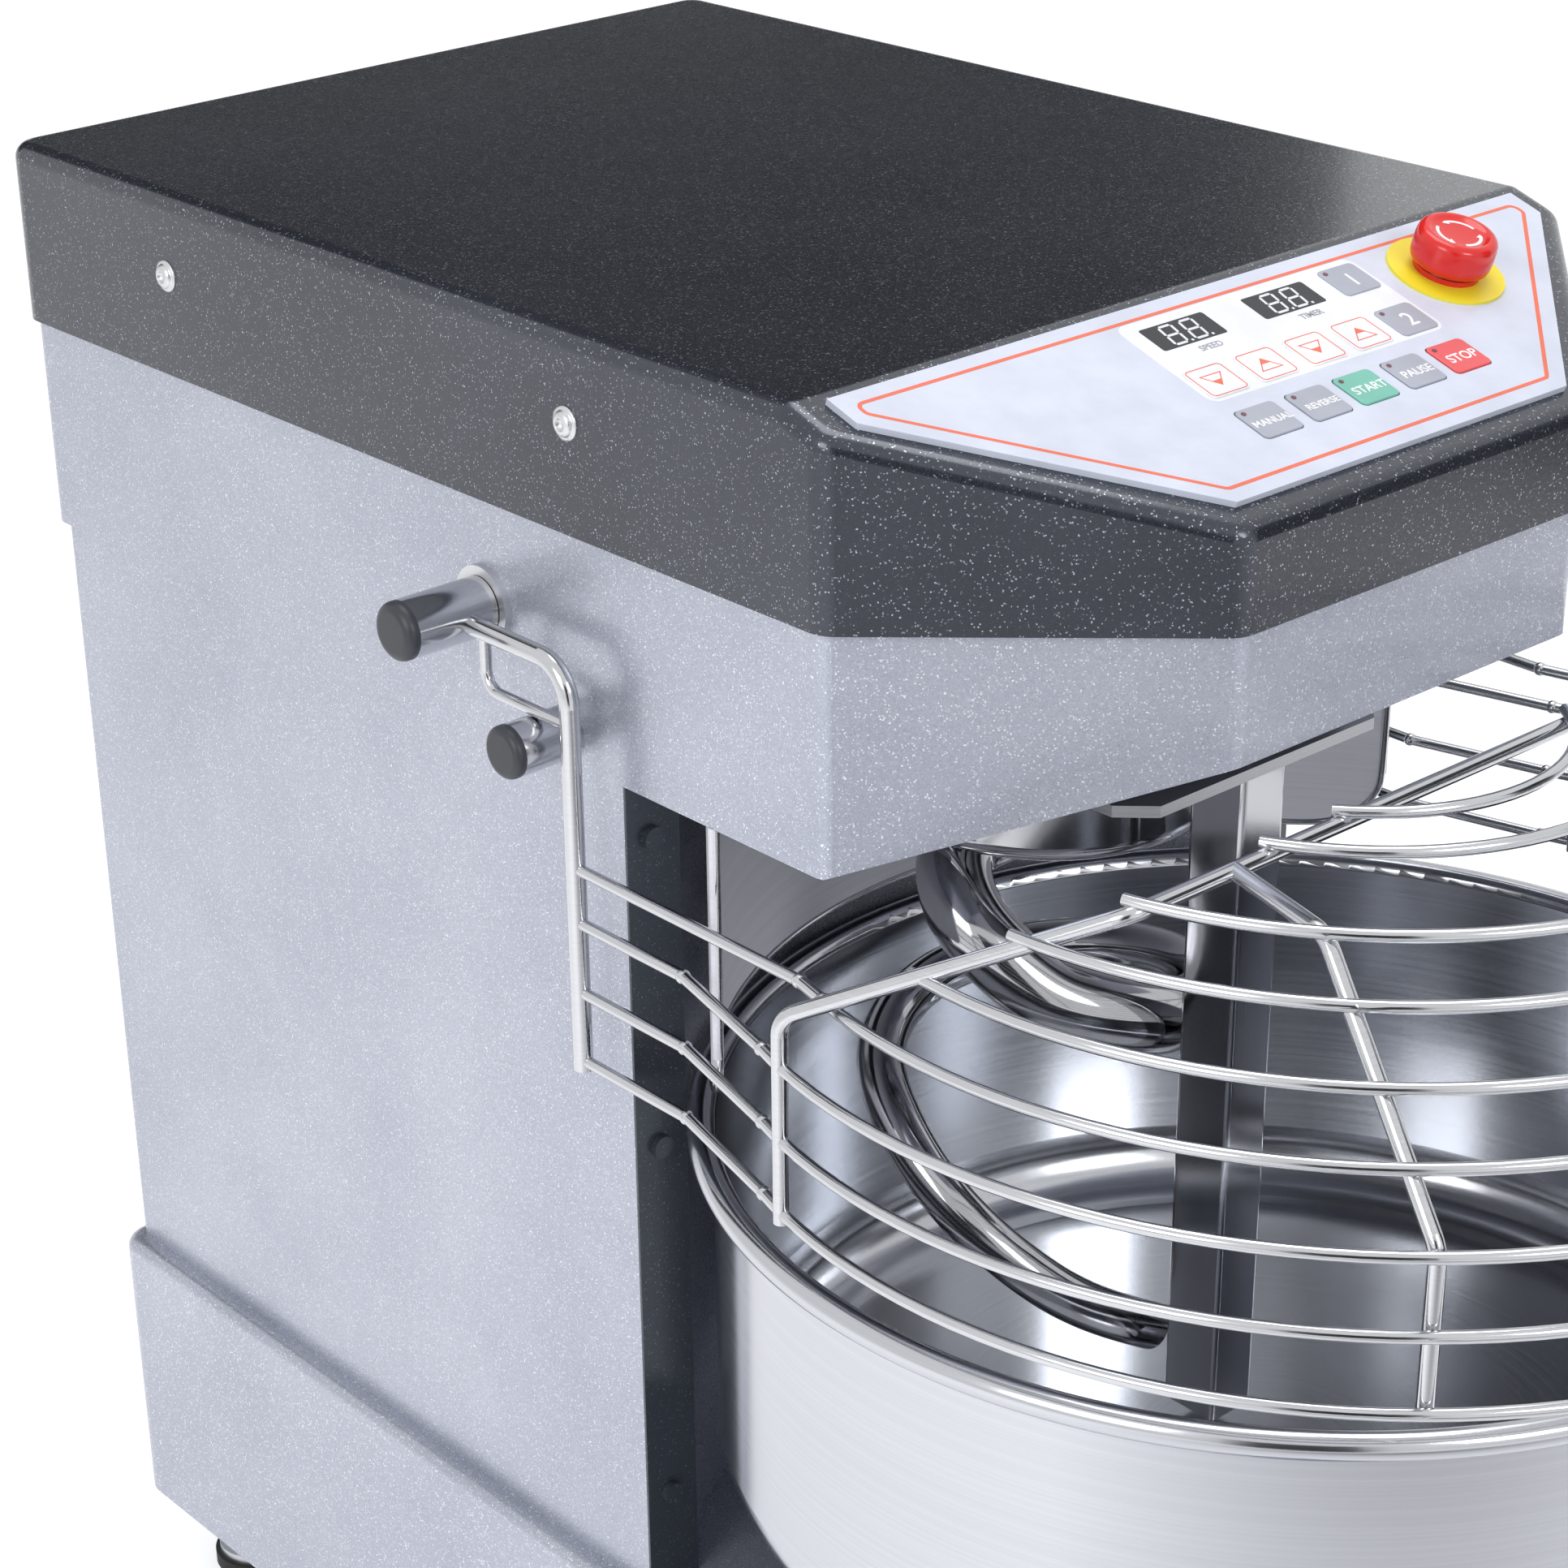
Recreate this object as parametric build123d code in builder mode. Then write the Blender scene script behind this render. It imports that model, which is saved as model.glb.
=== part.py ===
"""Floor-standing spiral dough mixer: rounded steel body, turning bowl, spiral hook, breaker bar
and a hinged wire guard. Millimetres, +Z up, origin on the floor under the middle of the body;
the front of the machine faces -Y."""
import os
from math import atan2, cos, degrees, hypot, pi, radians, sin, tan

from build123d import *

os.makedirs("parts", exist_ok=True)

# ---- Driving dimensions: body ----
sheet = 3.0
cover_sheet = 2.0
head_half_width = 245.0
head_front = -257.0
head_back = 527.0
head_side_height = 120.0
nose_rise = 56.0
nose_chamfer = 130.0
nose_corner_depth = 127.0
cover_height = 99.0
cover_overhang = 4.0
facet_drop = 50.0
facet_start = -110.0
cover_bend = 9.0
floor_gap = 50.0
base_height = 190.0
base_overhang = 11.0
base_corner = 18.0
base_shoulder = 8.0
base_front = -464.0
base_back = 526.0
column_height = 476.0
column_inset = 2.0
column_back = 516.0
column_bend = 6.0

# ---- Driving dimensions: bowl, hook and bar ----
bowl_y = -200.0
bowl_inner_radius = 282.0
bowl_depth = 202.0
bowl_wall = 2.0
bowl_corner_radius = 35.0
rim_bead = 14.0
pedestal_radius = 150.0
pedestal_height = 84.0
hook_radius = 86.0
hook_rod = 26.0
hook_wall_gap = 15.0
hook_floor_gap = 10.0
collar_diameter = 176.0
collar_drop = 66.0
bar_width = 30.0
bar_depth = 35.0
flange_thickness = 6.0
flange_half_width = 92.0
flange_corner = 16.0
underplate_thickness = 4.0
bar_hook_gap = 11.0
bar_floor_gap = 10.0

# ---- Driving dimensions: splash shield ----
shield_sheet = 1.5
shield_hem = 5.0
shield_corner = 34.0
shield_turn = 59.3
shield_gap = 22.0
shield_rim_gap = 27.0
shield_guard_gap = 16.0

# ---- Driving dimensions: guard ----
arm_rod = 10.0
hoop_rod = 6.0
weld_bead = 3.7
cross_rod = 8.0
arm_gap = 15.0
hinge_y = 112.0
hinge_drop = 55.0
guard_drop_y = 24.0
hoop_lifts = (113.0, 75.0, 37.0)
top_hoop_lift = 142.0
top_hoop_inset = 21.0
ring_y = -228.0
cross_rod_gap = 28.0

# ---- Clearances and fits ----
running_fit = 0.05
clear = 0.4
recess_gap = 22.0
rim_strip_gap = 2.1
recess_return = 33.0
guard_rim_gap = 10.0

# ---- Derived sizes ----
base_half_width = head_half_width + base_overhang
column_half_width = head_half_width - column_inset
base_top = floor_gap + base_height
head_bottom = base_top + column_height
head_nose_bottom = head_bottom + nose_rise
cover_bottom = head_bottom + head_side_height
cover_top = cover_bottom + cover_height
bowl_bottom = base_top + pedestal_height + 5
bowl_floor = bowl_bottom + bowl_wall
rim_height = bowl_floor + bowl_depth
recess_radius = bowl_inner_radius + bowl_wall + recess_gap
recess_half_width = column_half_width - recess_return
rim_reach = bowl_inner_radius + bowl_wall + rim_bead - 1 + rim_strip_gap
column_front = bowl_y + (rim_reach**2 - recess_half_width**2) ** 0.5
hook_y = bowl_y + bowl_inner_radius - hook_wall_gap - hook_rod / 2 - hook_radius
collar_bottom = head_bottom - collar_drop
bar_y = hook_y - hook_radius - hook_rod / 2 - bar_hook_gap - bar_depth / 2
bar_bottom = bowl_floor + bar_floor_gap
guard_x = head_half_width + arm_gap + arm_rod / 2
hinge_z = cover_bottom - hinge_drop
hoop_radius = bowl_inner_radius + bowl_wall + rim_bead - 8 + guard_rim_gap
top_hoop_radius = hoop_radius - top_hoop_inset
hoop_heights = [rim_height + lift for lift in hoop_lifts]
top_hoop_height = rim_height + top_hoop_lift
cross_rod_y = head_front - cover_overhang - cross_rod_gap
cross_rod_height = head_bottom + 30
cover_half_width = head_half_width + cover_overhang
cover_front = head_front - cover_overhang
cover_back = head_back + cover_overhang
lip_height = cover_top - facet_drop
facet_run = facet_start - cover_front
facet_angle = degrees(atan2(facet_drop, facet_run))
bowl_outer_radius = bowl_inner_radius + bowl_wall
rim_radius = bowl_outer_radius + rim_bead / 2 - 1


def save(builder, name):
    """Label the finished sub-part and write its STEP file."""
    builder.part.label = name
    export_step(builder.part, f"parts/{name}.step")


def rod(points, radii, diameter):
    """A round rod along straight runs joined by tangent arcs."""
    with BuildPart() as bent:
        with BuildLine() as path:
            if len(points) > 2:
                FilletPolyline(*points, radius=radii)
            else:
                Line(*points)
        with BuildSketch(Plane(path.line @ 0, z_dir=path.line % 0)):
            Circle(diameter / 2)
        sweep()
    return bent.part


def nose_outline(half_width, front, back, corner):
    """Plan of the head: a rectangle whose two front corners are cut off."""
    nose = half_width - nose_chamfer
    with BuildSketch() as outline:
        with BuildLine():
            Polyline(
                (-half_width, back),
                (-half_width, front + corner),
                (-nose, front),
                (nose, front),
                (half_width, front + corner),
                (half_width, back),
                close=True,
            )
        make_face()
    return outline.sketch


def loop_belt(y_large, r_large, y_small, r_small, width, z):
    """A flat belt round two pulleys on the mid-plane, with a running gap."""
    thickness = 5.0
    with BuildPart() as belt:
        with BuildSketch(Plane.XY.offset(z)):
            for grow, mode in ((clear + thickness, Mode.ADD), (clear, Mode.SUBTRACT)):
                big = r_large + grow
                small = r_small + grow
                lean = (r_large - r_small) / (y_small - y_large)
                side = (1 - lean**2) ** 0.5
                with BuildLine():
                    Polyline(
                        (big * side, y_large + big * lean),
                        (small * side, y_small + small * lean),
                        (-small * side, y_small + small * lean),
                        (-big * side, y_large + big * lean),
                        close=True,
                    )
                make_face(mode=mode)
                with Locations((0, y_large)):
                    Circle(big, mode=mode)
                with Locations((0, y_small)):
                    Circle(small, mode=mode)
        extrude(amount=width)
    return belt.part


# ---- Base ----
with BuildPart() as base_chassis:
    with BuildSketch(Plane.XY.offset(floor_gap)):
        with Locations((0, (base_front + base_back) / 2)):
            RectangleRounded(2 * base_half_width, base_back - base_front, base_corner)
    extrude(amount=base_top - floor_gap)
    fillet(base_chassis.faces().sort_by(Axis.Z)[-1].edges(), base_shoulder)
    offset(amount=-sheet, openings=base_chassis.faces().sort_by(Axis.Z)[0])
    # folded lip round the open underside, where the feet screw in
    with BuildSketch(Plane.XY.offset(floor_gap)):
        with Locations((0, (base_front + base_back) / 2)):
            RectangleRounded(2 * base_half_width - 2, base_back - base_front - 2, base_corner - 1)
            RectangleRounded(2 * base_half_width - 120, base_back - base_front - 120, 20, mode=Mode.SUBTRACT)
    extrude(amount=sheet)
    # shaft hole under the bowl, and the way through into the column
    with BuildSketch(Plane.XY.offset(base_top - 2 * sheet)):
        with Locations((0, bowl_y)):
            Circle(58)
        with Locations((0, 300)):
            Circle(60)
    extrude(amount=3 * sheet, mode=Mode.SUBTRACT)
save(base_chassis, "base_chassis")

foot_x = base_half_width - 45
foot_ys = (base_front + 60, base_back - 60)
foot_places = [(x, y) for x in (-foot_x, foot_x) for y in foot_ys]

with BuildPart() as foot_pads:
    for x, y in foot_places:
        with BuildSketch(Plane.XY):
            with Locations((x, y)):
                Circle(27)
        extrude(amount=9)
save(foot_pads, "foot_pads")

with BuildPart() as levelling_feet:
    for x, y in foot_places:
        with BuildSketch(Plane.XY.offset(9)):
            with Locations((x, y)):
                Circle(24)
        extrude(amount=6)
        with BuildSketch(Plane.XY.offset(15)):
            with Locations((x, y)):
                RegularPolygon(15, 6)
        extrude(amount=12)
        with BuildSketch(Plane.XY.offset(27)):
            with Locations((x, y)):
                Circle(9)
        extrude(amount=floor_gap - 27 - 8)
        with BuildSketch(Plane.XY.offset(floor_gap - 8)):
            with Locations((x, y)):
                RegularPolygon(16, 6)
        extrude(amount=8)
save(levelling_feet, "levelling_feet")

with BuildPart() as bowl_pedestal:
    with BuildSketch(Plane.XY.offset(base_top)):
        with Locations((0, bowl_y)):
            Circle(pedestal_radius)
            Circle(pedestal_radius - 4, mode=Mode.SUBTRACT)
    extrude(amount=pedestal_height)
    chamfer(bowl_pedestal.edges().filter_by(GeomType.CIRCLE).sort_by(Axis.Z)[-1], 1.5)
save(bowl_pedestal, "bowl_pedestal")

# ---- Bowl drive ----
housing_top = bowl_bottom - 11
shaft_radius = 20.0
bearing_radius = 40.0
bowl_bearing_heights = (base_top + 8, base_top + 56)
bearing_width = 18.0

with BuildPart() as bowl_bearing_housing:
    with BuildSketch(Plane.XY.offset(base_top)):
        with Locations((0, bowl_y)):
            Circle(95)
    extrude(amount=6)
    with BuildSketch(Plane.XY.offset(base_top)):
        with Locations((0, bowl_y)):
            Circle(55)
    extrude(amount=housing_top - base_top)
    with BuildSketch(Plane.XY.offset(base_top)):
        with Locations((0, bowl_y)):
            Circle(bearing_radius)
    extrude(amount=housing_top - base_top, mode=Mode.SUBTRACT)
    with BuildSketch(Plane.XY.offset(base_top)):
        with Locations((0, bowl_y)):
            with PolarLocations(78, 6):
                Circle(5)
    extrude(amount=6, mode=Mode.SUBTRACT)
save(bowl_bearing_housing, "bowl_bearing_housing")

with BuildPart() as bowl_bearings:
    for z in bowl_bearing_heights:
        with BuildSketch(Plane.XY.offset(z)):
            with Locations((0, bowl_y)):
                Circle(bearing_radius)
                Circle(shaft_radius + running_fit, mode=Mode.SUBTRACT)
        extrude(amount=bearing_width)
save(bowl_bearings, "bowl_bearings")

bowl_pulley_z = floor_gap + 60
bowl_pulley_width = 40.0
bowl_pulley_radius = 150.0
bowl_motor_y = 300.0
bowl_motor_pulley_radius = 37.5

with BuildPart() as bowl_shaft:
    with BuildSketch(Plane.XY.offset(bowl_pulley_z - 10)):
        with Locations((0, bowl_y)):
            Circle(shaft_radius)
    extrude(amount=bowl_bottom - bowl_pulley_z + 10)
    with BuildSketch(Plane.XY.offset(bowl_bottom - 6)):
        with Locations((0, bowl_y)):
            Circle(80)
    extrude(amount=6)
save(bowl_shaft, "bowl_shaft")

with BuildPart() as bowl_pulley:
    with BuildSketch(Plane.XY.offset(bowl_pulley_z)):
        with Locations((0, bowl_y)):
            Circle(bowl_pulley_radius)
            Circle(shaft_radius, mode=Mode.SUBTRACT)
            with PolarLocations(88, 6):
                Circle(30, mode=Mode.SUBTRACT)
    extrude(amount=bowl_pulley_width)
save(bowl_pulley, "bowl_pulley")

with BuildPart() as bowl_motor:
    with BuildSketch(Plane.XY.offset(base_top + 6)):
        with Locations((0, bowl_motor_y)):
            Circle(78)
    extrude(amount=190)
    with BuildSketch(Plane.XY.offset(base_top + 30)):
        with Locations((0, bowl_motor_y)):
            with PolarLocations(82, 24):
                Rectangle(12, 4)
    extrude(amount=130)
    with BuildSketch(Plane.XY.offset(base_top + 6)):
        with Locations((0, bowl_motor_y)):
            Circle(14 + running_fit)
    extrude(amount=60, mode=Mode.SUBTRACT)
save(bowl_motor, "bowl_motor")

with BuildPart() as bowl_motor_pulley:
    with BuildSketch(Plane.XY.offset(bowl_pulley_z)):
        with Locations((0, bowl_motor_y)):
            Circle(bowl_motor_pulley_radius)
    extrude(amount=bowl_pulley_width)
    with BuildSketch(Plane.XY.offset(bowl_pulley_z)):
        with Locations((0, bowl_motor_y)):
            Circle(14)
    extrude(amount=base_top + 50 - bowl_pulley_z)
save(bowl_motor_pulley, "bowl_motor_pulley")

with BuildPart() as bowl_belt:
    add(
        loop_belt(
            bowl_y,
            bowl_pulley_radius,
            bowl_motor_y,
            bowl_motor_pulley_radius,
            bowl_pulley_width - 6,
            bowl_pulley_z + 3,
        )
    )
save(bowl_belt, "bowl_belt")

# ---- Bowl: spun from one disc, with a rolled bead at the rim ----
with BuildPart() as bowl:
    with BuildSketch(Plane.XZ.offset(-bowl_y)):
        with BuildLine():
            outer = FilletPolyline(
                (0, bowl_bottom),
                (bowl_outer_radius, bowl_bottom),
                (bowl_outer_radius, rim_height),
                radius=bowl_corner_radius,
            )
            Line(outer @ 1, (bowl_inner_radius, rim_height))
            inner = FilletPolyline(
                (bowl_inner_radius, rim_height),
                (bowl_inner_radius, bowl_floor),
                (0, bowl_floor),
                radius=bowl_corner_radius - bowl_wall,
            )
            Line(inner @ 1, outer @ 0)
        make_face()
        with Locations((rim_radius, rim_height)):
            Circle(rim_bead / 2)
    revolve(axis=Axis((0, bowl_y, 0), (0, 0, 1)))
save(bowl, "bowl")

# ---- Column with the round recess for the bowl ----
with BuildPart() as column_shell:
    with BuildSketch(Plane.XY.offset(base_top)) as column_plan:
        for inset, mode in ((0.0, Mode.ADD), (sheet, Mode.SUBTRACT)):
            half = column_half_width - inset
            front = column_front + inset
            back = column_back - inset
            side = recess_half_width + inset
            reach = recess_radius + inset
            corner_y = bowl_y + (reach**2 - side**2) ** 0.5
            with BuildLine():
                Polyline((-side, corner_y), (-side, front), (-half, front), (-half, back))
                Line((-half, back), (half, back))
                Polyline((half, back), (half, front), (side, front), (side, corner_y))
                ThreePointArc((side, corner_y), (0, bowl_y + reach), (-side, corner_y))
            make_face(mode=mode)
    extrude(amount=head_bottom - base_top)
    for rear, bend in ((column_back - sheet, column_bend - sheet), (column_back, column_bend)):
        upright = column_shell.edges().filter_by(Axis.Z)
        fillet(upright.filter_by_position(Axis.Y, rear - 0.1, rear + 0.1), bend)
save(column_shell, "column_shell")

with BuildPart() as column_front_strips:
    for side in (-1, 1):
        with BuildSketch(Plane.XY.offset(base_top)):
            with Locations((side * (recess_half_width + column_half_width) / 2, column_front - 0.75)):
                Rectangle(column_half_width - recess_half_width, 1.5)
        extrude(amount=head_bottom - base_top)
    with BuildSketch(Plane.XZ.offset(-column_front + 1.5)):
        for x in (-recess_half_width - 18, recess_half_width + 18):
            for z in (base_top + 60, rim_height - 21, head_bottom - 32):
                with Locations((x, z)):
                    Circle(6)
    extrude(amount=3.5)
save(column_front_strips, "column_front_strips")

# ---- Splash shield: a thin curved sheet that hangs from the head behind the hook ----
shield_radius = recess_radius - shield_gap
shield_bottom = rim_height + shield_rim_gap
shield_room = guard_x - arm_rod / 2 - shield_guard_gap
shield_half_width = min(shield_radius * sin(radians(shield_turn)), shield_room)
shield_end_y = bowl_y + (shield_radius**2 - shield_half_width**2) ** 0.5

with BuildPart() as splash_shield:
    with BuildSketch(Plane.XY.offset(shield_bottom)):
        with Locations((0, bowl_y)):
            Circle(shield_radius)
            Circle(shield_radius - shield_sheet, mode=Mode.SUBTRACT)
    extrude(amount=head_bottom - shield_bottom)
    # side view: only the lower front corner is round, the rest of the mask lies outside the sheet
    with BuildSketch(Plane.YZ):
        with Locations((shield_end_y, shield_bottom)):
            RectangleRounded(
                3 * shield_radius,
                2 * (head_bottom - shield_bottom),
                shield_corner,
                align=(Align.MIN, Align.MIN),
            )
    extrude(amount=shield_radius, both=True, mode=Mode.INTERSECT)
    # hem down each upright edge
    for side in (-1, 1):
        with BuildSketch(Plane.XY.offset(shield_bottom + shield_corner)):
            with Locations((side * (shield_half_width - 0.4), shield_end_y + 1)):
                Circle(shield_hem / 2)
        extrude(amount=head_bottom - shield_bottom - shield_corner)
save(splash_shield, "splash_shield")

rear_panel_z = base_top + 240

with BuildPart() as rear_panel:
    with BuildSketch(Plane.XZ.offset(-column_back - 2)):
        with Locations((0, rear_panel_z)):
            RectangleRounded(400, 410, 12)
            with GridLocations(150, 14, 2, 9):
                with Locations((0, -110)):
                    SlotOverall(110, 5, mode=Mode.SUBTRACT)
    extrude(amount=2)
save(rear_panel, "rear_panel")

with BuildPart() as rear_panel_screws:
    with BuildSketch(Plane.XZ.offset(-column_back - 2)):
        with Locations((0, rear_panel_z)):
            with GridLocations(376, 193, 2, 3):
                Circle(6)
    extrude(amount=-3)
    fillet(rear_panel_screws.faces().sort_by(Axis.Y)[-1].edges(), 1)
save(rear_panel_screws, "rear_panel_screws")

with BuildPart() as cable_gland:
    with BuildSketch(Plane.XZ.offset(-base_back)):
        with Locations((150, 130)):
            RegularPolygon(17, 6)
    extrude(amount=-5)
    with BuildSketch(Plane.XZ.offset(-base_back - 5)):
        with Locations((150, 130)):
            Circle(14)
            Circle(6, mode=Mode.SUBTRACT)
    extrude(amount=-8)
save(cable_gland, "cable_gland")

# ---- Head ----
with BuildPart() as head_block:
    with BuildSketch(Plane.YZ):
        with BuildLine():
            Polyline(
                (head_back, head_bottom),
                (head_front + nose_corner_depth, head_bottom),
                (head_front, head_nose_bottom),
                (head_front, cover_bottom),
                (head_back, cover_bottom),
                close=True,
            )
        make_face()
    extrude(amount=head_half_width, both=True)
    add(nose_outline(head_half_width, head_front, head_back, nose_corner_depth))
    extrude(amount=cover_top + 1, mode=Mode.INTERSECT)
    fillet(head_block.edges().filter_by(Axis.Z), 12)

with BuildPart() as head_shell:
    add(head_block.part)
    offset(amount=-sheet, openings=head_shell.faces().sort_by(Axis.Z)[-1])
    # the column opens into the head; the hook shaft passes through the floor of the head
    with BuildSketch(Plane.XY.offset(head_bottom - 1)):
        with Locations((0, 290)):
            RectangleRounded(2 * column_half_width - 66, 340, 10)
        with Locations((0, hook_y)):
            Circle(30)
    extrude(amount=sheet + 2, mode=Mode.SUBTRACT)
save(head_shell, "head_shell")

underplate_bottom = head_bottom - underplate_thickness
flange_bottom = head_bottom - flange_thickness
flange_front = bar_y - bar_depth / 2 - 2
flange_back = hook_y - 32

with BuildPart() as head_underplate:
    with BuildSketch(Plane.XY.offset(underplate_bottom)):
        with Locations((0, (flange_back + clear + hook_y + 60) / 2)):
            RectangleRounded(270, hook_y + 60 - flange_back - clear, 20)
        with Locations((0, hook_y)):
            Circle(30, mode=Mode.SUBTRACT)
    extrude(amount=underplate_thickness)
save(head_underplate, "head_underplate")

with BuildPart() as cover_block:
    with BuildSketch(Plane.YZ):
        with BuildLine():
            Polyline(
                (cover_back, cover_bottom),
                (cover_front, cover_bottom),
                (cover_front, lip_height),
                (facet_start, cover_top),
                (cover_back, cover_top),
                close=True,
            )
        make_face()
    extrude(amount=cover_half_width, both=True)
    add(nose_outline(cover_half_width, cover_front, cover_back, nose_corner_depth))
    extrude(amount=cover_top + 1, mode=Mode.INTERSECT)
    fillet(cover_block.edges().filter_by(Axis.Z), 16)
    top_faces = cover_block.faces().filter_by(lambda f: f.normal_at().Z > 0.5)
    fillet(top_faces.edges(), cover_bend)

# local frame of the sloped control facet: u to the right, v up the slope, w out of it
facet = Plane(origin=(0, facet_start, cover_top), x_dir=(1, 0, 0), z_dir=(0, -facet_drop, facet_run))
e_stop_place = (134.0, -48.0)
e_stop_barrel = 11.0

with BuildPart() as head_cover:
    add(cover_block.part)
    offset(amount=-cover_sheet, openings=head_cover.faces().sort_by(Axis.Z)[0])
    # folded flange that sits on the rim of the head shell
    with BuildSketch(Plane.XY.offset(cover_bottom)):
        add(nose_outline(cover_half_width - 1, cover_front + 1, cover_back - 1, nose_corner_depth))
        add(
            nose_outline(cover_half_width - 14, cover_front + 14, cover_back - 14, nose_corner_depth - 6),
            mode=Mode.SUBTRACT,
        )
    extrude(amount=cover_sheet)
    add(cover_block.part, mode=Mode.INTERSECT)
    with BuildSketch(facet.offset(-10)):
        with Locations(e_stop_place):
            Circle(e_stop_barrel)
    extrude(amount=20, mode=Mode.SUBTRACT)
save(head_cover, "head_cover")

with BuildPart() as cover_screws:
    for side, bearing in ((-1, -90), (1, 90)):
        face = Plane(origin=(side * cover_half_width, 0, 0), x_dir=(0, 1, 0), z_dir=(side, 0, 0))
        for y in (39, 374):
            with BuildSketch(face):
                with Locations((y, side * (cover_bottom + 55))):
                    Circle(8)
            extrude(amount=3.5)
    fillet(cover_screws.faces().filter_by(Axis.X).sort_by(Axis.X)[:2].edges(), 2)
    fillet(cover_screws.faces().filter_by(Axis.X).sort_by(Axis.X)[-2:].edges(), 2)
save(cover_screws, "cover_screws")

# ---- Breaker bar ----
bolt_row_y = hook_y - 77

with BuildPart() as bar_flange:
    with BuildSketch(Plane.XY.offset(flange_bottom)):
        with BuildLine():
            Polyline(
                (-flange_half_width, flange_back),
                (-flange_half_width, flange_front + flange_corner),
                (flange_corner - flange_half_width, flange_front),
                (flange_half_width - flange_corner, flange_front),
                (flange_half_width, flange_front + flange_corner),
                (flange_half_width, flange_back),
                close=True,
            )
        make_face()
        with Locations((0, bolt_row_y)):
            with GridLocations(144, 22, 2, 2):
                Circle(5, mode=Mode.SUBTRACT)
    extrude(amount=flange_thickness)
save(bar_flange, "bar_flange")

with BuildPart() as breaker_bar:
    with BuildSketch(Plane.XY.offset(bar_bottom)):
        with Locations((0, bar_y)):
            RectangleRounded(bar_width, bar_depth, 3)
    extrude(amount=flange_bottom - bar_bottom)
    chamfer(breaker_bar.faces().sort_by(Axis.Z)[0].edges(), 1)
save(breaker_bar, "breaker_bar")

with BuildPart() as bar_bolts:
    with BuildSketch(Plane.XY.offset(flange_bottom - 6)):
        with Locations((0, bolt_row_y)):
            with GridLocations(144, 22, 2, 2):
                RegularPolygon(8, 6)
    extrude(amount=6)
    with BuildSketch(Plane.XY.offset(flange_bottom)):
        with Locations((0, bolt_row_y)):
            with GridLocations(144, 22, 2, 2):
                Circle(5)
    extrude(amount=flange_thickness)
save(bar_bolts, "bar_bolts")

# ---- Hook and its drive ----
# stations along the spiral: angle from +X seen from above, height of the rod's centre
spiral_stations = (
    (180, collar_bottom - hook_rod / 2 - 1),
    (225, collar_bottom - 72),
    (270, collar_bottom - 98),
    (360, collar_bottom - 119),
    (450, bowl_floor + 180),
    (518, bowl_floor + 155),
    (564, bowl_floor + 103),
    (597, bowl_floor + 65),
    (630, bowl_floor + hook_floor_gap + hook_rod),
)
spiral_step = 22.5


def spiral_height(angle):
    """Height of the spiral at an angle, straight between its stations."""
    for (a0, z0), (a1, z1) in zip(spiral_stations, spiral_stations[1:]):
        if angle <= a1:
            return z0 + (z1 - z0) * (angle - a0) / (a1 - a0)
    return spiral_stations[-1][1]


spiral_points = [(0, hook_y, collar_bottom - 16)]
for step in range(round((spiral_stations[-1][0] - 180) / spiral_step) + 1):
    angle = 180 + step * spiral_step
    spiral_points.append(
        (
            hook_radius * cos(radians(angle)),
            hook_y + hook_radius * sin(radians(angle)),
            spiral_height(angle),
        )
    )


def bend_radii(points, share=0.45, largest=400.0):
    """The largest tangent arc that each corner of a route leaves room for."""
    radii = []
    for before, at, after in zip(points, points[1:], points[2:]):
        run_in = Vector(*at) - Vector(*before)
        run_out = Vector(*after) - Vector(*at)
        turn = radians(run_in.get_angle(run_out))
        radii.append(min(largest, share * min(run_in.length, run_out.length) / tan(turn / 2)))
    return radii


spiral_radii = bend_radii(spiral_points)
print("spiral bend radii", [round(r) for r in spiral_radii])
spiral_rod = rod(spiral_points, spiral_radii, hook_rod)

with BuildPart() as spiral_hook:
    with BuildSketch(Plane.XY.offset(collar_bottom - 31)):
        with Locations((0, hook_y)):
            Circle(22)
    extrude(amount=31)
    add(spiral_rod)
save(spiral_hook, "spiral_hook")

with BuildPart() as hook_collar:
    with BuildSketch(Plane.XY.offset(collar_bottom)):
        with Locations((0, hook_y)):
            Circle(collar_diameter / 2)
            Circle(shaft_radius, mode=Mode.SUBTRACT)
    extrude(amount=underplate_bottom - 5 - collar_bottom)
    rims = hook_collar.edges().filter_by(GeomType.CIRCLE).sort_by(SortBy.RADIUS)[-2:]
    fillet(rims.sort_by(Axis.Z)[0], 10)
    chamfer(rims.sort_by(Axis.Z)[-1], 2)
save(hook_collar, "hook_collar")

hook_pulley_z = head_bottom + 68
hook_pulley_width = 44.0
hook_pulley_radius = 148.0
spiral_motor_y = 330.0
spiral_motor_pulley_radius = 37.0
head_floor = head_bottom + sheet
hook_bearing_heights = (head_floor + 3, head_floor + 36)

with BuildPart() as hook_shaft:
    with BuildSketch(Plane.XY.offset(collar_bottom)):
        with Locations((0, hook_y)):
            Circle(shaft_radius)
    extrude(amount=hook_pulley_z + hook_pulley_width + 12 - collar_bottom)
save(hook_shaft, "hook_shaft")

with BuildPart() as hook_bearing_housing:
    with BuildSketch(Plane.XY.offset(head_floor)):
        with Locations((0, hook_y)):
            Circle(85)
    extrude(amount=6)
    with BuildSketch(Plane.XY.offset(head_floor)):
        with Locations((0, hook_y)):
            Circle(54)
    extrude(amount=57)
    with BuildSketch(Plane.XY.offset(head_floor)):
        with Locations((0, hook_y)):
            Circle(bearing_radius)
            with PolarLocations(70, 6):
                Circle(5)
    extrude(amount=57, mode=Mode.SUBTRACT)
save(hook_bearing_housing, "hook_bearing_housing")

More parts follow.
